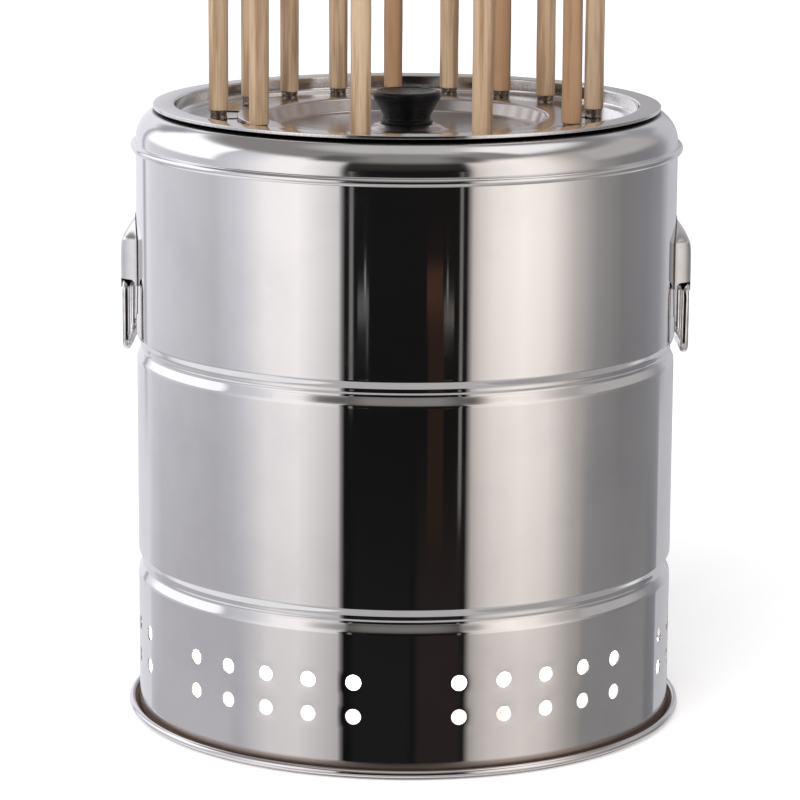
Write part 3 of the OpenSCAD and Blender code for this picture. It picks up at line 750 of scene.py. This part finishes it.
class GRILL_OT_stage(GrillOperator):
    """Make the camera, the white floor and the studio's light"""

    bl_idname = "grill.stage"
    bl_label = "Stage"

    # tints of the white walls
    cool, plain, warm = (0.96, 0.96, 1.03), (1.0, 0.96, 0.97), (1.0, 0.93, 0.89)
    # what the polished sheet mirrors, by angle from the front: (degrees, level, tint)
    surround = (
        (-180, 0.45, plain), (-172, 0.95, cool), (-150, 0.95, cool), (-147, 0.40, cool),
        (-143, 0.95, cool), (-136, 0.82, cool), (-112, 0.73, cool), (-88, 0.63, cool),
        (-74, 0.78, cool), (-60, 1.10, plain), (-46, 1.15, plain), (-30, 0.80, plain),
        (-27.5, 0.75, plain), (-26.3, 0.01, plain), (26.0, 0.01, warm), (27.4, 0.58, warm),
        (31, 0.80, warm), (37, 1.00, warm), (50, 1.17, warm), (62, 1.04, warm),
        (75, 0.60, warm), (88, 0.33, plain), (104, 0.235, plain), (122, 0.26, cool),
        (136, 0.33, cool), (148, 0.60, cool), (164, 0.60, cool), (172, 0.42, cool), (180, 0.45, plain),
    )
    # the walls brighten upwards, between two heights in degrees and from one share to another
    wall_heights, wall_shares = (-20, -6), (0.62, 1.06)
    # ceiling, zenith and ground: the heights in degrees between which each sets in, and its colour
    layers = (
        ((34, 47), (0.27, 0.26, 0.255)),
        ((62, 76), (0.56, 0.55, 0.55)),
        ((-24, -34), (0.95, 0.95, 0.98)),
    )
    # panels and flags, as (left, right, low, high, softness) in degrees and a colour
    panels = (
        ((-62, 62, -95, -28, 6), (0.50, 0.49, 0.50)),
        ((62, 140, -95, -28, 6), (0.40, 0.39, 0.395)),
        ((-178, -142, -26, -11.5, 1.5), (0.78, 0.78, 0.84)),
        ((-130, -78, -26, -13.5, 3), (0.54, 0.53, 0.57)),
        ((82, 128, -26, -13, 3), (0.265, 0.26, 0.265)),
        ((-142, -88, 4, 39, 3), (1.28, 1.28, 1.34)),
        ((84, 136, 10, 37, 5), (0.50, 0.48, 0.48)),
        ((-46, 38, 35, 57, 6), (0.12, 0.115, 0.11)),
        ((-23, 22, 12, 40, 8), (0.035, 0.033, 0.031)),
        ((-24, 23, 36, 70, 8), (0.27, 0.26, 0.25)),
        ((66, 130, 50, 76, 6), (1.08, 1.05, 1.06)),
        ((-155, -140, 19, 34, 4), (0.40, 0.40, 0.42)),
        ((140, 155, 19, 34, 4), (0.35, 0.35, 0.36)),
        ((140, 170, -26, -11.6, 0.8), (0.55, 0.55, 0.58)),
        ((-22, 3, -26, -14, 2), (0.013, 0.013, 0.014)),
        ((5, 24, -26, -14, 2), (0.024, 0.019, 0.018)),
        ((9.5, 16.0, -14, -10.5, 0.4), (0.026, 0.016, 0.012)),
        ((8.8, 15.4, -10.5, -9.7, 0.15), (0.06, 0.03, 0.02)),
        ((-23.4, -21.8, -11.7, 4, 0.4), (0.21, 0.20, 0.20)),
        ((22.4, 23.7, -13.6, 4, 0.4), (0.19, 0.18, 0.17)),
        ((-19.9, -15.2, -10.55, -10.1, 0.12), (0.14, 0.14, 0.14)),
        ((-17.1, -16.4, -10.1, -9.7, 0.1), (0.30, 0.30, 0.30)),
        ((-16.1, -15.5, -11.05, -10.7, 0.1), (0.16, 0.16, 0.16)),
        ((15.8, 20.1, -10.65, -10.25, 0.12), (0.14, 0.13, 0.12)),
        ((17.0, 17.6, -10.2, -9.8, 0.1), (0.25, 0.24, 0.23)),
    )

    def execute(self, context):
        studio = context.scene.grill_studio
        self.camera(context.scene, studio)
        self.world(context.scene)
        self.lamps(context.scene, studio)
        self.floor(studio)
        context.scene.view_settings.view_transform = "Standard"
        return {"FINISHED"}

    def camera(self, scene, studio):
        data = bpy.data.cameras.new("Camera")
        data.lens = studio.lens
        data.shift_x = studio.shift
        camera = bpy.data.objects.new("Camera", data)
        scene.collection.objects.link(camera)
        look = Matrix.Rotation(math.pi / 2 - studio.tilt, 4, "X") @ Matrix.Rotation(studio.roll, 4, "Z")
        camera.matrix_world = Matrix.Translation((0.0, -studio.distance, studio.height)) @ look
        scene.camera = camera

    def world(self, scene):
        scene.world = bpy.data.worlds.new("Studio")
        scene.world.use_nodes = True
        tree = scene.world.node_tree
        tree.nodes.clear()
        x, y, z = split(tree, add(tree, "ShaderNodeTexCoord").outputs["Generated"])
        turn = maths(tree, "ARCTAN2", x, maths(tree, "MULTIPLY", y, -1.0))
        share = maths(tree, "MULTIPLY_ADD", turn, 1 / math.tau, 0.5)
        walls = add(tree, "ShaderNodeValToRGB", {"Fac": share})
        stops = walls.color_ramp.elements
        for i, (degrees, level, tint) in enumerate(self.surround):
            stop = stops[i] if i < 2 else stops.new(1.0)
            stop.position = degrees / 360 + 0.5
            stop.color = (*(level * c for c in tint), 1.0)
        rise = maths(tree, "ARCSINE", z)
        bright = ramp(tree, rise, *map(math.radians, self.wall_heights), *self.wall_shares)
        room = mix(tree, bright, (0.0, 0.0, 0.0), walls.outputs[0])
        for heights, shade in self.layers:
            room = mix(tree, ramp(tree, rise, *map(math.radians, heights)), room, shade)
        for edges, shade in self.panels:
            mask = add(tree, "ShaderNodeGroup", node_tree=panel_group())
            tree.links.new(turn, mask.inputs["Turn"])
            tree.links.new(rise, mask.inputs["Rise"])
            for label, degrees in zip(("Left", "Right", "Low", "High", "Soft"), edges):
                mask.inputs[label].default_value = math.radians(degrees)
            room = mix(tree, mask.outputs[0], room, shade)
        shown = mix(tree, add(tree, "ShaderNodeLightPath").outputs["Is Camera Ray"], room, (1.0, 1.0, 1.0))
        light = add(tree, "ShaderNodeBackground", {"Color": shown})
        add(tree, "ShaderNodeOutputWorld", {"Surface": light.outputs[0]})

    def lamp(self, scene, name, kind, energy):
        data = bpy.data.lights.new(name, kind)
        data.energy = energy
        lamp = bpy.data.objects.new(name, data)
        scene.collection.objects.link(lamp)
        return lamp

    def lamps(self, scene, studio):
        sun = self.lamp(scene, "Soft lamp", "SUN", studio.sun)
        sun.data.angle = studio.sun_spread
        sun.rotation_euler = (studio.sun_pitch, studio.sun_lean, 0.0)
        sun.visible_glossy = False
        inside = self.lamp(scene, "Vent lamp", "POINT", studio.inside)
        inside.data.shadow_soft_size = studio.inside_size
        inside.location = (0.0, 0.0, studio.inside_height)

    def floor(self, studio):
        half = 20.0
        corners = [(-half, -half, 0.0), (half, -half, 0.0), (half, half, 0.0), (-half, half, 0.0)]
        floor = new_piece("Floor", corners, [(0, 1, 2, 3)])
        floor.visible_glossy = False
        material, tree, shader = new_material("Floor white")
        grey = noise_at(tree, add(tree, "ShaderNodeTexCoord").outputs["Object"], 0.8)
        pale = tuple(min(c + 0.02, 1.0) for c in studio.floor)
        feed(tree, shader, Base_Color=mix(tree, grey, studio.floor, pale))
        shader.inputs["Roughness"].default_value = 1.0
        shader.inputs["Specular IOR Level"].default_value = 0.0
        shader.inputs["Emission Color"].default_value = (1.0, 1.0, 1.0, 1.0)
        seen = add(tree, "ShaderNodeLightPath").outputs["Is Camera Ray"]
        feed(tree, shader, Emission_Strength=maths(tree, "MULTIPLY", seen, studio.floor_glow))
        paint(floor, material)
        floor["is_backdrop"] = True


class GRILL_OT_barrel(GrillOperator):
    """Make the barrel wall with its grooves and vents"""

    bl_idname = "grill.barrel"
    bl_label = "Barrel"

    # a groove's section from its foot up, as shares of its half height and its depth: a long lower flank,
    # a narrow deepest line, a flat bed and a steeper upper flank
    groove = (
        (-1.0, 0.0), (-0.92, 0.005), (-0.84, 0.04), (-0.76, 0.12), (-0.30, 0.89), (-0.24, 0.955),
        (-0.17, 0.98), (-0.09, 0.98), (-0.05, 0.965), (0.03, 0.85), (0.08, 0.80), (0.30, 0.80),
        (0.38, 0.77), (0.46, 0.68), (0.60, 0.42), (0.74, 0.14), (0.83, 0.02), (0.92, 0.0), (1.0, 0.0),
    )
    # where the plain wall begins beside a groove, as a share of its half height
    plain = 1.1

    def wall_rows(self, body, radius, low, high):
        """Points up the plain wall, with those of each groove between two heights."""
        rows = [(radius, low)]
        section = [(-self.plain, 0.0), *eased(self.groove, 3), (self.plain, 0.0)]
        half, depth = body.groove_height / 2, body.groove_depth
        for middle in (body.groove_low, body.groove_high):
            if low < middle < high:
                rows += [(radius - depth * dip, middle + half * t) for t, dip in section]
        return rows + [(radius, high)]

    def execute(self, context):
        body = context.scene.grill_body
        radius = radius_of("barrel_wall")
        bottom, top = (corner.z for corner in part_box("barrel_wall"))
        sector = math.tau / body.vent_groups
        sides = 8
        step = body.vent_pitch / sides
        group = body.vent_pitch * body.vent_columns
        gap_steps = max(round((sector - group) / 2 / step), 1)
        gap = spread(0.0, (sector - group) / 2, gap_steps)
        left = [a - sector / 2 for a in gap]
        right = [group / 2 + a for a in gap]
        cells = spread(-group / 2, group / 2, sides * body.vent_columns)
        columns = left[:-1] + cells + right[1:]
        vents_low = body.vent_low - body.vent_row_pitch / 2
        vents_high = vents_low + 2 * body.vent_row_pitch
        points, faces = [], []
        grid(points, faces, columns, self.wall_rows(body, radius, bottom, vents_low))
        grid(points, faces, columns, self.wall_rows(body, radius, vents_high, top))
        side_rows = [(radius, z) for z in spread(vents_low, vents_high, 2 * sides)]
        grid(points, faces, left, side_rows)
        grid(points, faces, right, side_rows)
        half = (body.vent_pitch / 2, body.vent_row_pitch / 2)
        vent = body.vent_diameter / 2
        for column in range(body.vent_columns):
            for row in range(2):
                turn = (column - (body.vent_columns - 1) / 2) * body.vent_pitch
                middle = (turn, body.vent_low + row * body.vent_row_pitch)
                hole_cell(points, faces, middle, half, radius, vent, body.vent_dimple, sides)
        wall = new_piece("barrel_skin", points, faces)
        turn = body.vent_turn + sector / 2
        run_tree(wall, wrap_tree(), Copies=body.vent_groups, Turn=turn, Finish=finish_named("barrel"))
        face_outwards(wall)
        thicken(wall, body.sheet, finish_named("lining"), finish_named("cut edge"))
        settle(wall, "barrel", ["barrel_wall"])
        return {"FINISHED"}


class GRILL_OT_base(GrillOperator):
    """Make the base pan with its rolled rim"""

    bl_idname = "grill.base"
    bl_label = "Base pan"

    def execute(self, context):
        body = context.scene.grill_body
        roll, sheet = body.rim_roll, body.sheet
        centre = (radius_of("base_pan") - roll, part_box("base_pan")[1].z - roll)
        wall = radius_of("barrel_wall") + body.rim_gap
        outline = [(0.0, 0.0)] + arc((wall, sheet), sheet, -90, 0, 5)
        outline += arc(centre, roll, -124, 180, 30)
        gap = 0.15 * MM
        foot = radius_of("barrel_wall") + gap
        outline += [(foot, sheet + body.channel_rise), (foot, sheet), (0.0, sheet)]
        pan = turned("base_skin", outline, finish_named("pan"))
        settle(pan, "barrel", ["base_pan"])
        return {"FINISHED"}


class GRILL_OT_shoulder(GrillOperator):
    """Make the shoulder ring with its seam bead and neck"""

    bl_idname = "grill.shoulder"
    bl_label = "Shoulder"

    def execute(self, context):
        body = context.scene.grill_body
        low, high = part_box("shoulder_ring")
        seam_low, seam_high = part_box("seam_band")
        barrel = radius_of("barrel_wall")
        sheet, bead, bend = body.sheet, body.seam_bead, body.neck_bend
        seam = high.z - body.shoulder_radius
        centre = (barrel - body.shoulder_radius, seam)
        neck = (centre[0], high.z - bend)
        gap = 0.1 * MM
        fillet = 0.9 * MM
        outline = [(neck[0] - bend, low.z)]
        outline += arc(neck, bend, 180, 90, 8)
        outline += arc(centre, body.shoulder_radius, 88, 6, 30)
        outline += arc((barrel + fillet, seam_high.z + fillet), fillet, 180, 262, 6)
        outline += arc((seam_high.x - bead, (seam_low.z + seam_high.z) / 2), bead, 72, -80, 20)
        outline += [(barrel + gap, seam_low.z), (barrel + gap, seam)]
        outline += arc(centre, body.shoulder_radius - sheet, 0, 90, 24)
        outline += arc(neck, bend - sheet, 92, 180, 8)
        outline.append((neck[0] - bend + sheet, low.z))
        ring = turned("shoulder_skin", outline, finish_named("shoulder"))
        settle(ring, "barrel", ["shoulder_ring", "seam_band"])
        return {"FINISHED"}


class GRILL_OT_tray(GrillOperator):
    """Make the skewer tray with its folded flange and radial slots"""

    bl_idname = "grill.tray"
    bl_label = "Skewer tray"

    def floor_sheet(self, body, top, floor, outer):
        """The tray's slotted floor, as one sector repeated round the axis."""
        half_slot = top.slot_width / 2
        half_sector = math.pi / top.slots
        end = top.slot_circle
        stations = [(r, half_slot) for r in spread(top.opening, end, 6)]
        for a in spread(0.0, math.pi / 2, 8)[1:]:
            stations.append((end + half_slot * math.sin(a), half_slot * math.cos(a)))
        stations += [(r, 0.0) for r in spread(end + half_slot, outer, 4)[1:]]
        points, faces = [], []
        shares = spread(0.0, 1.0, 6)
        for side in (-1, 1):
            first = len(points)
            for r, edge in stations:
                start = math.asin(edge / r)
                points.extend((side * (start + (half_sector - start) * s), r, floor) for s in shares)
            quads(faces, first, len(shares), len(stations))
        sheet = new_piece("tray_floor", points, faces)
        run_tree(sheet, wrap_tree(), Copies=top.slots, Turn=top.slot_turn, Finish=finish_named("tray"))
        face_outwards(sheet)
        face_towards(sheet, Vector((0.0, 0.0, 1.0)))
        thicken(sheet, body.sheet)
        return sheet

    def execute(self, context):
        body, top = context.scene.grill_body, context.scene.grill_top
        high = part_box("tray_rim")[1]
        sheet, flange, bend = body.sheet, top.flange, top.tray_bend
        inner, outer = top.tray_inner, high.x
        floor = high.z - top.floor_depth
        lip = flange / 2
        crease, edge = 0.14 * MM, 0.45 * MM
        under = high.z - flange
        outline = [(inner - bend, floor - sheet), (inner - bend, floor)]
        outline += arc((inner - bend, floor + bend), bend, -84, 0, 8)
        outline += arc((inner + lip, high.z - lip), lip, 180, 90, 6)
        outline += arc((outer - edge, high.z - edge), edge, 90, 0, 6)
        for dip, drop in ((0.0, 0.0), (crease, crease), (0.0, 2 * crease)):
            outline.append((outer - dip, under + lip - drop))
        outline += arc((outer - edge, under + edge), edge, 0, -90, 6)
        outline += [(inner + sheet + bend, under)]
        outline += arc((inner + sheet + lip, under - lip), lip, 90, 180, 6)
        outline += arc((inner - bend, floor + bend), bend + sheet, 0, -84, 8)
        rim = turned("tray_skin", outline, finish_named("tray"))
        join_pieces(rim, self.floor_sheet(body, top, floor, inner - bend))
        settle(rim, "tray", ["skewer_tray", "tray_rim"])
        return {"FINISHED"}


class GRILL_OT_lid(GrillOperator):
    """Make the dished lid"""

    bl_idname = "grill.lid"
    bl_label = "Lid"

    def execute(self, context):
        body, top = context.scene.grill_body, context.scene.grill_top
        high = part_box("lid_pan")[1]
        hem = top.lid_hem / 2
        rim = high.z
        floor = rim - top.dish_depth
        low_r = top.dish_radius - top.dish_draft
        soft = 2.4 * MM
        back = 0.7 * soft
        slope = math.degrees(math.atan2(top.dish_depth, top.dish_draft))
        line = arc((high.x - hem, rim - hem), hem, -100, 90, 14)
        line += arc((top.dish_radius + back, rim - soft), soft, 90, 90 + slope, 8)
        line += arc((low_r - back, floor + soft), soft, slope - 90, -90, 8)
        inwards = top.boss_flat - top.boss_radius
        for t in spread(0.0, 1.0, 12):
            line.append((top.boss_radius + inwards * t, floor + top.boss_height * (3 - 2 * t) * t * t))
        line.append((top.screw_hole, floor + top.boss_height))
        lid = turned("lid_skin", sheet_outline(line, body.sheet), finish_named("lid"))
        settle(lid, "lid", ["lid_pan"])
        return {"FINISHED"}


class GRILL_OT_knob(GrillOperator):
    """Make the moulded knob"""

    bl_idname = "grill.knob"
    bl_label = "Knob"

    def execute(self, context):
        sizes = context.scene.grill_top
        low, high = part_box("lid_knob")
        top, height = high.x, high.z - low.z
        foot, neck, bore, edge = sizes.knob_foot, sizes.knob_neck, sizes.knob_bore, sizes.knob_edge
        foot_edge, foot_height, foot_inset = 0.7 * MM, 0.9 * MM, 0.5 * MM
        hollow, hollow_height = 0.8 * MM, 3.0 * MM
        flare_low, flare_short, flare_inset, flare_power = 3.4 * MM, 7.6 * MM, 0.25 * MM, 1.15
        dish_radius = top - edge - 1.2 * MM
        bore_top, bore_cone = 11.8 * MM, 0.2 * MM
        outline = [(bore, 0.0), (foot - foot_inset, 0.0)]
        outline += arc((foot - foot_edge, foot_height), foot_edge, -60, 60, 5)
        outline += arc((neck + hollow, hollow_height), hollow, 250, 180, 4)
        for t in spread(0.0, 1.0, 10):
            reach = (top - flare_inset - neck) * t ** flare_power
            outline.append((neck + reach, flare_low + (height - flare_short) * t))
        outline += arc((top - edge, height - edge), edge, -8, 90, 10)
        for a in spread(0.0, math.pi / 2, 10):
            outline.append((dish_radius * math.cos(a), height - sizes.knob_dish * math.sin(a)))
        outline += [(0.0, bore_top + bore_cone), (bore, bore_top)]
        outline = [(r, low.z + z) for r, z in outline]
        knob = turned("knob_skin", outline, finish_named("knob"), 96)
        settle(knob, "lid", ["lid_knob"], sharp=50)
        return {"FINISHED"}


def at_handle(side, handles):
    """Matrix of a side handle: local +Y points out of the barrel at its face."""
    turn = Matrix.Rotation(math.pi + side * handles.turn, 4, "Z")
    return turn @ Matrix.Translation((0.0, radius_of("barrel_wall"), 0.0))


SIDES = {"left": -1, "right": 1}


class GRILL_OT_rings(GrillOperator):
    """Make the wire rings of the side handles"""

    bl_idname = "grill.rings"
    bl_label = "Drop rings"

    def execute(self, context):
        handles = context.scene.grill_handles
        wire = handles.wire / 2
        half = handles.ring_width / 2
        for name, side in SIDES.items():
            low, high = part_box(f"drop_ring_{name}")
            upper, lower = high.z - wire, low.z + wire
            corners = [Vector((x, handles.pivot_out, z))
                       for x, z in ((half, upper), (-half, upper), (-half, lower), (half, lower))]
            place = at_handle(side, handles)
            path = [place @ p for p in bend_path(corners, handles.ring_bend, True)]
            ring = tube(f"ring_{name}_wire", path, wire, finish_named("wire"), 24, True)
            settle(ring, f"{name}_ring", [f"drop_ring_{name}"])
        return {"FINISHED"}


class GRILL_OT_brackets(GrillOperator):
    """Make the stamped brackets of the side handles"""

    bl_idname = "grill.brackets"
    bl_label = "Brackets"

    def sheet(self, name, columns, place, rows=28):
        """A sheet that faces out, whose points come from place(across, share of the height)."""
        points, faces = [], []
        for t in spread(0.0, 1.0, rows):
            points.extend(place(x, t) for x in columns)
        quads(faces, 0, len(columns), rows + 1)
        piece = new_piece(name, points, faces)
        face_towards(piece, Vector((0.0, 1.0, 0.0)))
        paint(piece, finish_named("bracket"))
        return piece

    def cover(self, handles, pivot):
        """The pillow-shaped cover, open below, with a lip in front of the pivot."""
        radius = radius_of("barrel_wall")
        half, face, lip = handles.plate_width / 2, handles.cover_width / 2, handles.lip_width / 2
        low = pivot + handles.cover_low
        bend = low + handles.cover_height
        top = bend + handles.cover_rise
        corner, power, least, softer = handles.lip_corner, 5, 0.02, 1.2
        # the lower edge drops only in the outer quarter of the flank, clear of the raised ring
        drop_share = 1 / 4

        def place(x, t):
            flank = max((half - abs(x)) / (half - face), least)
            foot = low - handles.cover_slant * max(1 - flank / drop_share, 0.0)
            tab = min(max((lip - abs(x)) / corner, 0.0), 1.0)
            foot -= (handles.cover_low + handles.lip_drop) * math.sqrt(1 - (1 - tab) ** 2)
            z = foot + (top - foot) * t
            slope = max((top - z) / handles.cover_rise, least)
            above = max(z - bend, 0.0)
            x *= 1 - handles.shield_taper * above / half
            flank *= (half - face) / (half - face + softer * above)
            rise = (1 + flank ** -power + slope ** -power) ** (-1 / power)
            wall = math.sqrt(radius * radius - x * x) - radius + handles.plate
            return x, wall + (handles.cover_out - wall) * rise, z

        columns = [0.0]
        for stop, steps in ((lip, 10), (lip + corner, 6), (face, 4), (half, 10)):
            columns += spread(columns[-1], stop, steps)[1:]
        columns = [-x for x in reversed(columns[1:])] + columns
        piece = self.sheet("cover", columns, place, 40)
        thicken(piece, handles.plate, cut=finish_named("cut edge"))
        return piece

    def plate(self, handles, pivot):
        """The shield-shaped plate that follows the barrel."""
        wide, inset, gap = handles.plate_width / 2, 0.985, 0.1 * MM
        low_z = pivot - handles.plate_drop
        cover_top = pivot + handles.cover_low + handles.cover_height
        top_z = cover_top + handles.cover_rise + handles.plate_rise
        radius = radius_of("barrel_wall") + gap
        narrow = wide - handles.shield_taper * (top_z - cover_top)
        ends = (
            (low_z, wide - handles.plate_foot), (pivot - handles.wire / 2, wide),
            (cover_top, wide), (top_z, narrow),
        )

        def place(s, t):
            z = low_z + (top_z - low_z) * t
            for (z0, w0), (z1, w1) in zip(ends, ends[1:]):
                if z <= z1 + MERGE_DISTANCE:
                    break
            x = s * (w0 + (w1 - w0) * (z - z0) / (z1 - z0))
            return x * inset, math.sqrt(radius * radius - x * x) - radius + handles.plate, z

        piece = self.sheet("plate", spread(-1.0, 1.0, 24), place)
        thicken(piece, handles.plate, cut=finish_named("cut edge"))
        return piece

    def knuckle(self, handles, pivot):
        """The rolled knuckle round the ring's wire, on its web."""
        play, wall, web, steps = 0.06 * MM, 0.74 * MM, 0.9 * MM, 8
        outer = handles.wire / 2 + play + wall
        half = handles.knuckle_length / 2
        line = [(web, pivot - outer)] + arc((handles.pivot_out, pivot), outer, -90, 200, 29)
        points = [(x, y, z) for x in spread(-half, half, steps) for y, z in line]
        faces = []
        quads(faces, 0, len(line), steps + 1)
        piece = new_piece("knuckle", points, faces)
        face_towards(piece, Vector((0.0, 1.0, 0.0)))
        paint(piece, finish_named("bracket"))
        thicken(piece, wall)
        return piece

    def execute(self, context):
        handles = context.scene.grill_handles
        for name, side in SIDES.items():
            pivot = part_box(f"drop_ring_{name}")[1].z - handles.wire / 2
            bracket = self.cover(handles, pivot)
            join_pieces(bracket, self.plate(handles, pivot), self.knuckle(handles, pivot))
            bracket.name = f"bracket_{name}_skin"
            bracket.data.transform(at_handle(side, handles))
            settle(bracket, "barrel", [f"handle_bracket_{name}"], sharp=40)
        return {"FINISHED"}


class GRILL_OT_skewers(GrillOperator):
    """Make the skewers: turned handles, ferrules and rods"""

    bl_idname = "grill.skewers"
    bl_label = "Skewers"

    # handles turned from redder and from paler sticks
    warm = (3, 6, 8)
    pale = (9, 10, 12)

    def upright(self, node):
        """Centre, radius, foot and top of a round upright node."""
        low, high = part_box(node)
        middle = (low + high) / 2
        return (middle.x, middle.y), (high.x - low.x) / 2, low.z, high.z

    def handle(self, number, wander):
        """A turned handle, a little out of round, with worn edges."""
        node = f"skewer_handle_{number}"
        centre, radius, foot, top = self.upright(node)
        bore, bore_depth, bore_cone = 2.05 * MM, 20 * MM, 1 * MM
        foot_edge, top_edge, edge_zone = 0.6 * MM, 1.3 * MM, 4 * MM
        across_scale, along_scale = 90, 34
        outline = [(bore, foot + bore_depth), (bore, foot)]
        outline += arc((radius - foot_edge, foot + foot_edge), foot_edge, -90, 0, 4)
        outline += [(radius, z) for z in spread(foot + edge_zone, top - edge_zone, 22)]
        outline += arc((radius - top_edge, top - top_edge), top_edge, 0, 80, 6)
        outline += [(0.0, top), (0.0, foot + bore_depth + bore_cone)]
        tone = "warm wood" if number in self.warm else "pale wood" if number in self.pale else "wood"
        piece = turned(f"handle_{number}_wood", outline, finish_named(tone), 32, centre)
        for vertex in piece.data.vertices:
            x, y, z = vertex.co
            arm = Vector((x - centre[0], y - centre[1], 0.0))
            if arm.length > radius / 2:
                lump = noise.noise(Vector((x * across_scale, y * across_scale, z * along_scale)))
                vertex.co += arm.normalized() * wander * (lump - 0.5)
        settle(piece, f"skewer_{number}", [node])

    def ferrule(self, number):
        """A rolled steel ferrule with a crimped waist."""
        node = f"skewer_ferrule_{number}"
        centre, radius, foot, top = self.upright(node)
        bore, lip, waist = 2.1 * MM, 0.5 * MM, 0.35 * MM
        run = top - foot - 2 * lip
        outline = [(bore, foot)]
        outline += arc((radius - lip, foot + lip), lip, -90, 20, 5)
        for t in spread(0.08, 0.92, 10):
            outline.append((radius - waist * math.sin(math.pi * t), foot + lip + run * t))
        outline += arc((radius - lip, top - lip), lip, -20, 90, 5)
        outline.append((bore, top))
        piece = turned(f"ferrule_{number}_steel", outline, finish_named("ferrule"), 40, centre)
        settle(piece, f"skewer_{number}", [node])

    def rod(self, number, point):
        """A drawn rod with a ground point."""
        node = f"skewer_rod_{number}"
        centre, radius, foot, top = self.upright(node)
        tip, tip_height, taper = 0.25 * MM, 0.2 * MM, 0.85
        plain, edge = 6 * MM, 0.3 * MM
        outline = [(0.0, foot), (tip, foot + tip_height)]
        outline += [(tip + (radius - tip) * t ** taper, foot + point * t) for t in spread(0.1, 1.0, 8)]
        outline += [(radius, z) for z in spread(foot + point + plain, top - edge, 10)]
        outline += [(radius - edge, top), (0.0, top)]
        piece = turned(f"rod_{number}_steel", outline, finish_named("rod"), 24, centre)
        settle(piece, f"skewer_{number}", [node])

    def execute(self, context):
        handles = context.scene.grill_handles
        for number in range(1, SKEWERS + 1):
            self.handle(number, handles.handle_wander)
            self.ferrule(number)
            self.rod(number, handles.rod_point)
        return {"FINISHED"}


class GRILL_OT_inside(GrillOperator):
    """Finish the pans, the cage and the small hardware that the frame already shapes"""

    bl_idname = "grill.inside"
    bl_label = "Inside"

    finishes = {
        "inner": ("ash_pan", "drip_pan", "pan_legs", "knob_screw", "knob_washer"),
        "cage": ("cage_wall", "cage_grate", "bail_lugs", "cage_bail"),
    }

    def execute(self, context):
        for finish, nodes in self.finishes.items():
            for node in nodes:
                paint(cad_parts[node], finish_named(finish))
        return {"FINISHED"}


PIECE_OPERATORS = (
    GRILL_OT_barrel, GRILL_OT_base, GRILL_OT_shoulder, GRILL_OT_tray, GRILL_OT_lid, GRILL_OT_knob,
    GRILL_OT_rings, GRILL_OT_brackets, GRILL_OT_skewers, GRILL_OT_inside,
)
PROPERTY_GROUPS = {
    "grill_body": GrillBody, "grill_top": GrillTop, "grill_handles": GrillHandles,
    "grill_finish": GrillFinish, "grill_studio": GrillStudio,
}


class GRILL_PT_panel(bpy.types.Panel):
    """Lists the grill's operators"""

    bl_idname = "GRILL_PT_panel"
    bl_label = "Charcoal Barrel Grill"
    bl_space_type = "VIEW_3D"
    bl_region_type = "UI"
    bl_category = "Grill"

    def draw(self, context):
        for operator in (GRILL_OT_stage, *PIECE_OPERATORS):
            self.layout.operator(operator.bl_idname)


CLASSES = (*PROPERTY_GROUPS.values(), GRILL_OT_stage, *PIECE_OPERATORS, GRILL_PT_panel)


def register():
    for cls in CLASSES:
        bpy.utils.register_class(cls)
    for name, group in PROPERTY_GROUPS.items():
        setattr(bpy.types.Scene, name, PointerProperty(type=group))


def unregister():
    for name in PROPERTY_GROUPS:
        delattr(bpy.types.Scene, name)
    for cls in reversed(CLASSES):
        bpy.utils.unregister_class(cls)


def main():
    """Registers the classes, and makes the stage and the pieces."""
    register()
    bpy.ops.grill.stage()
    for operator in PIECE_OPERATORS:
        getattr(bpy.ops.grill, operator.bl_idname.split(".")[1])()
    boxes = {"cad": CAD_BOX, "visual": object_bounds()}
    boxes = {name: [list(corner) for corner in box] for name, box in boxes.items()}


if __name__ == "__main__":
    main()
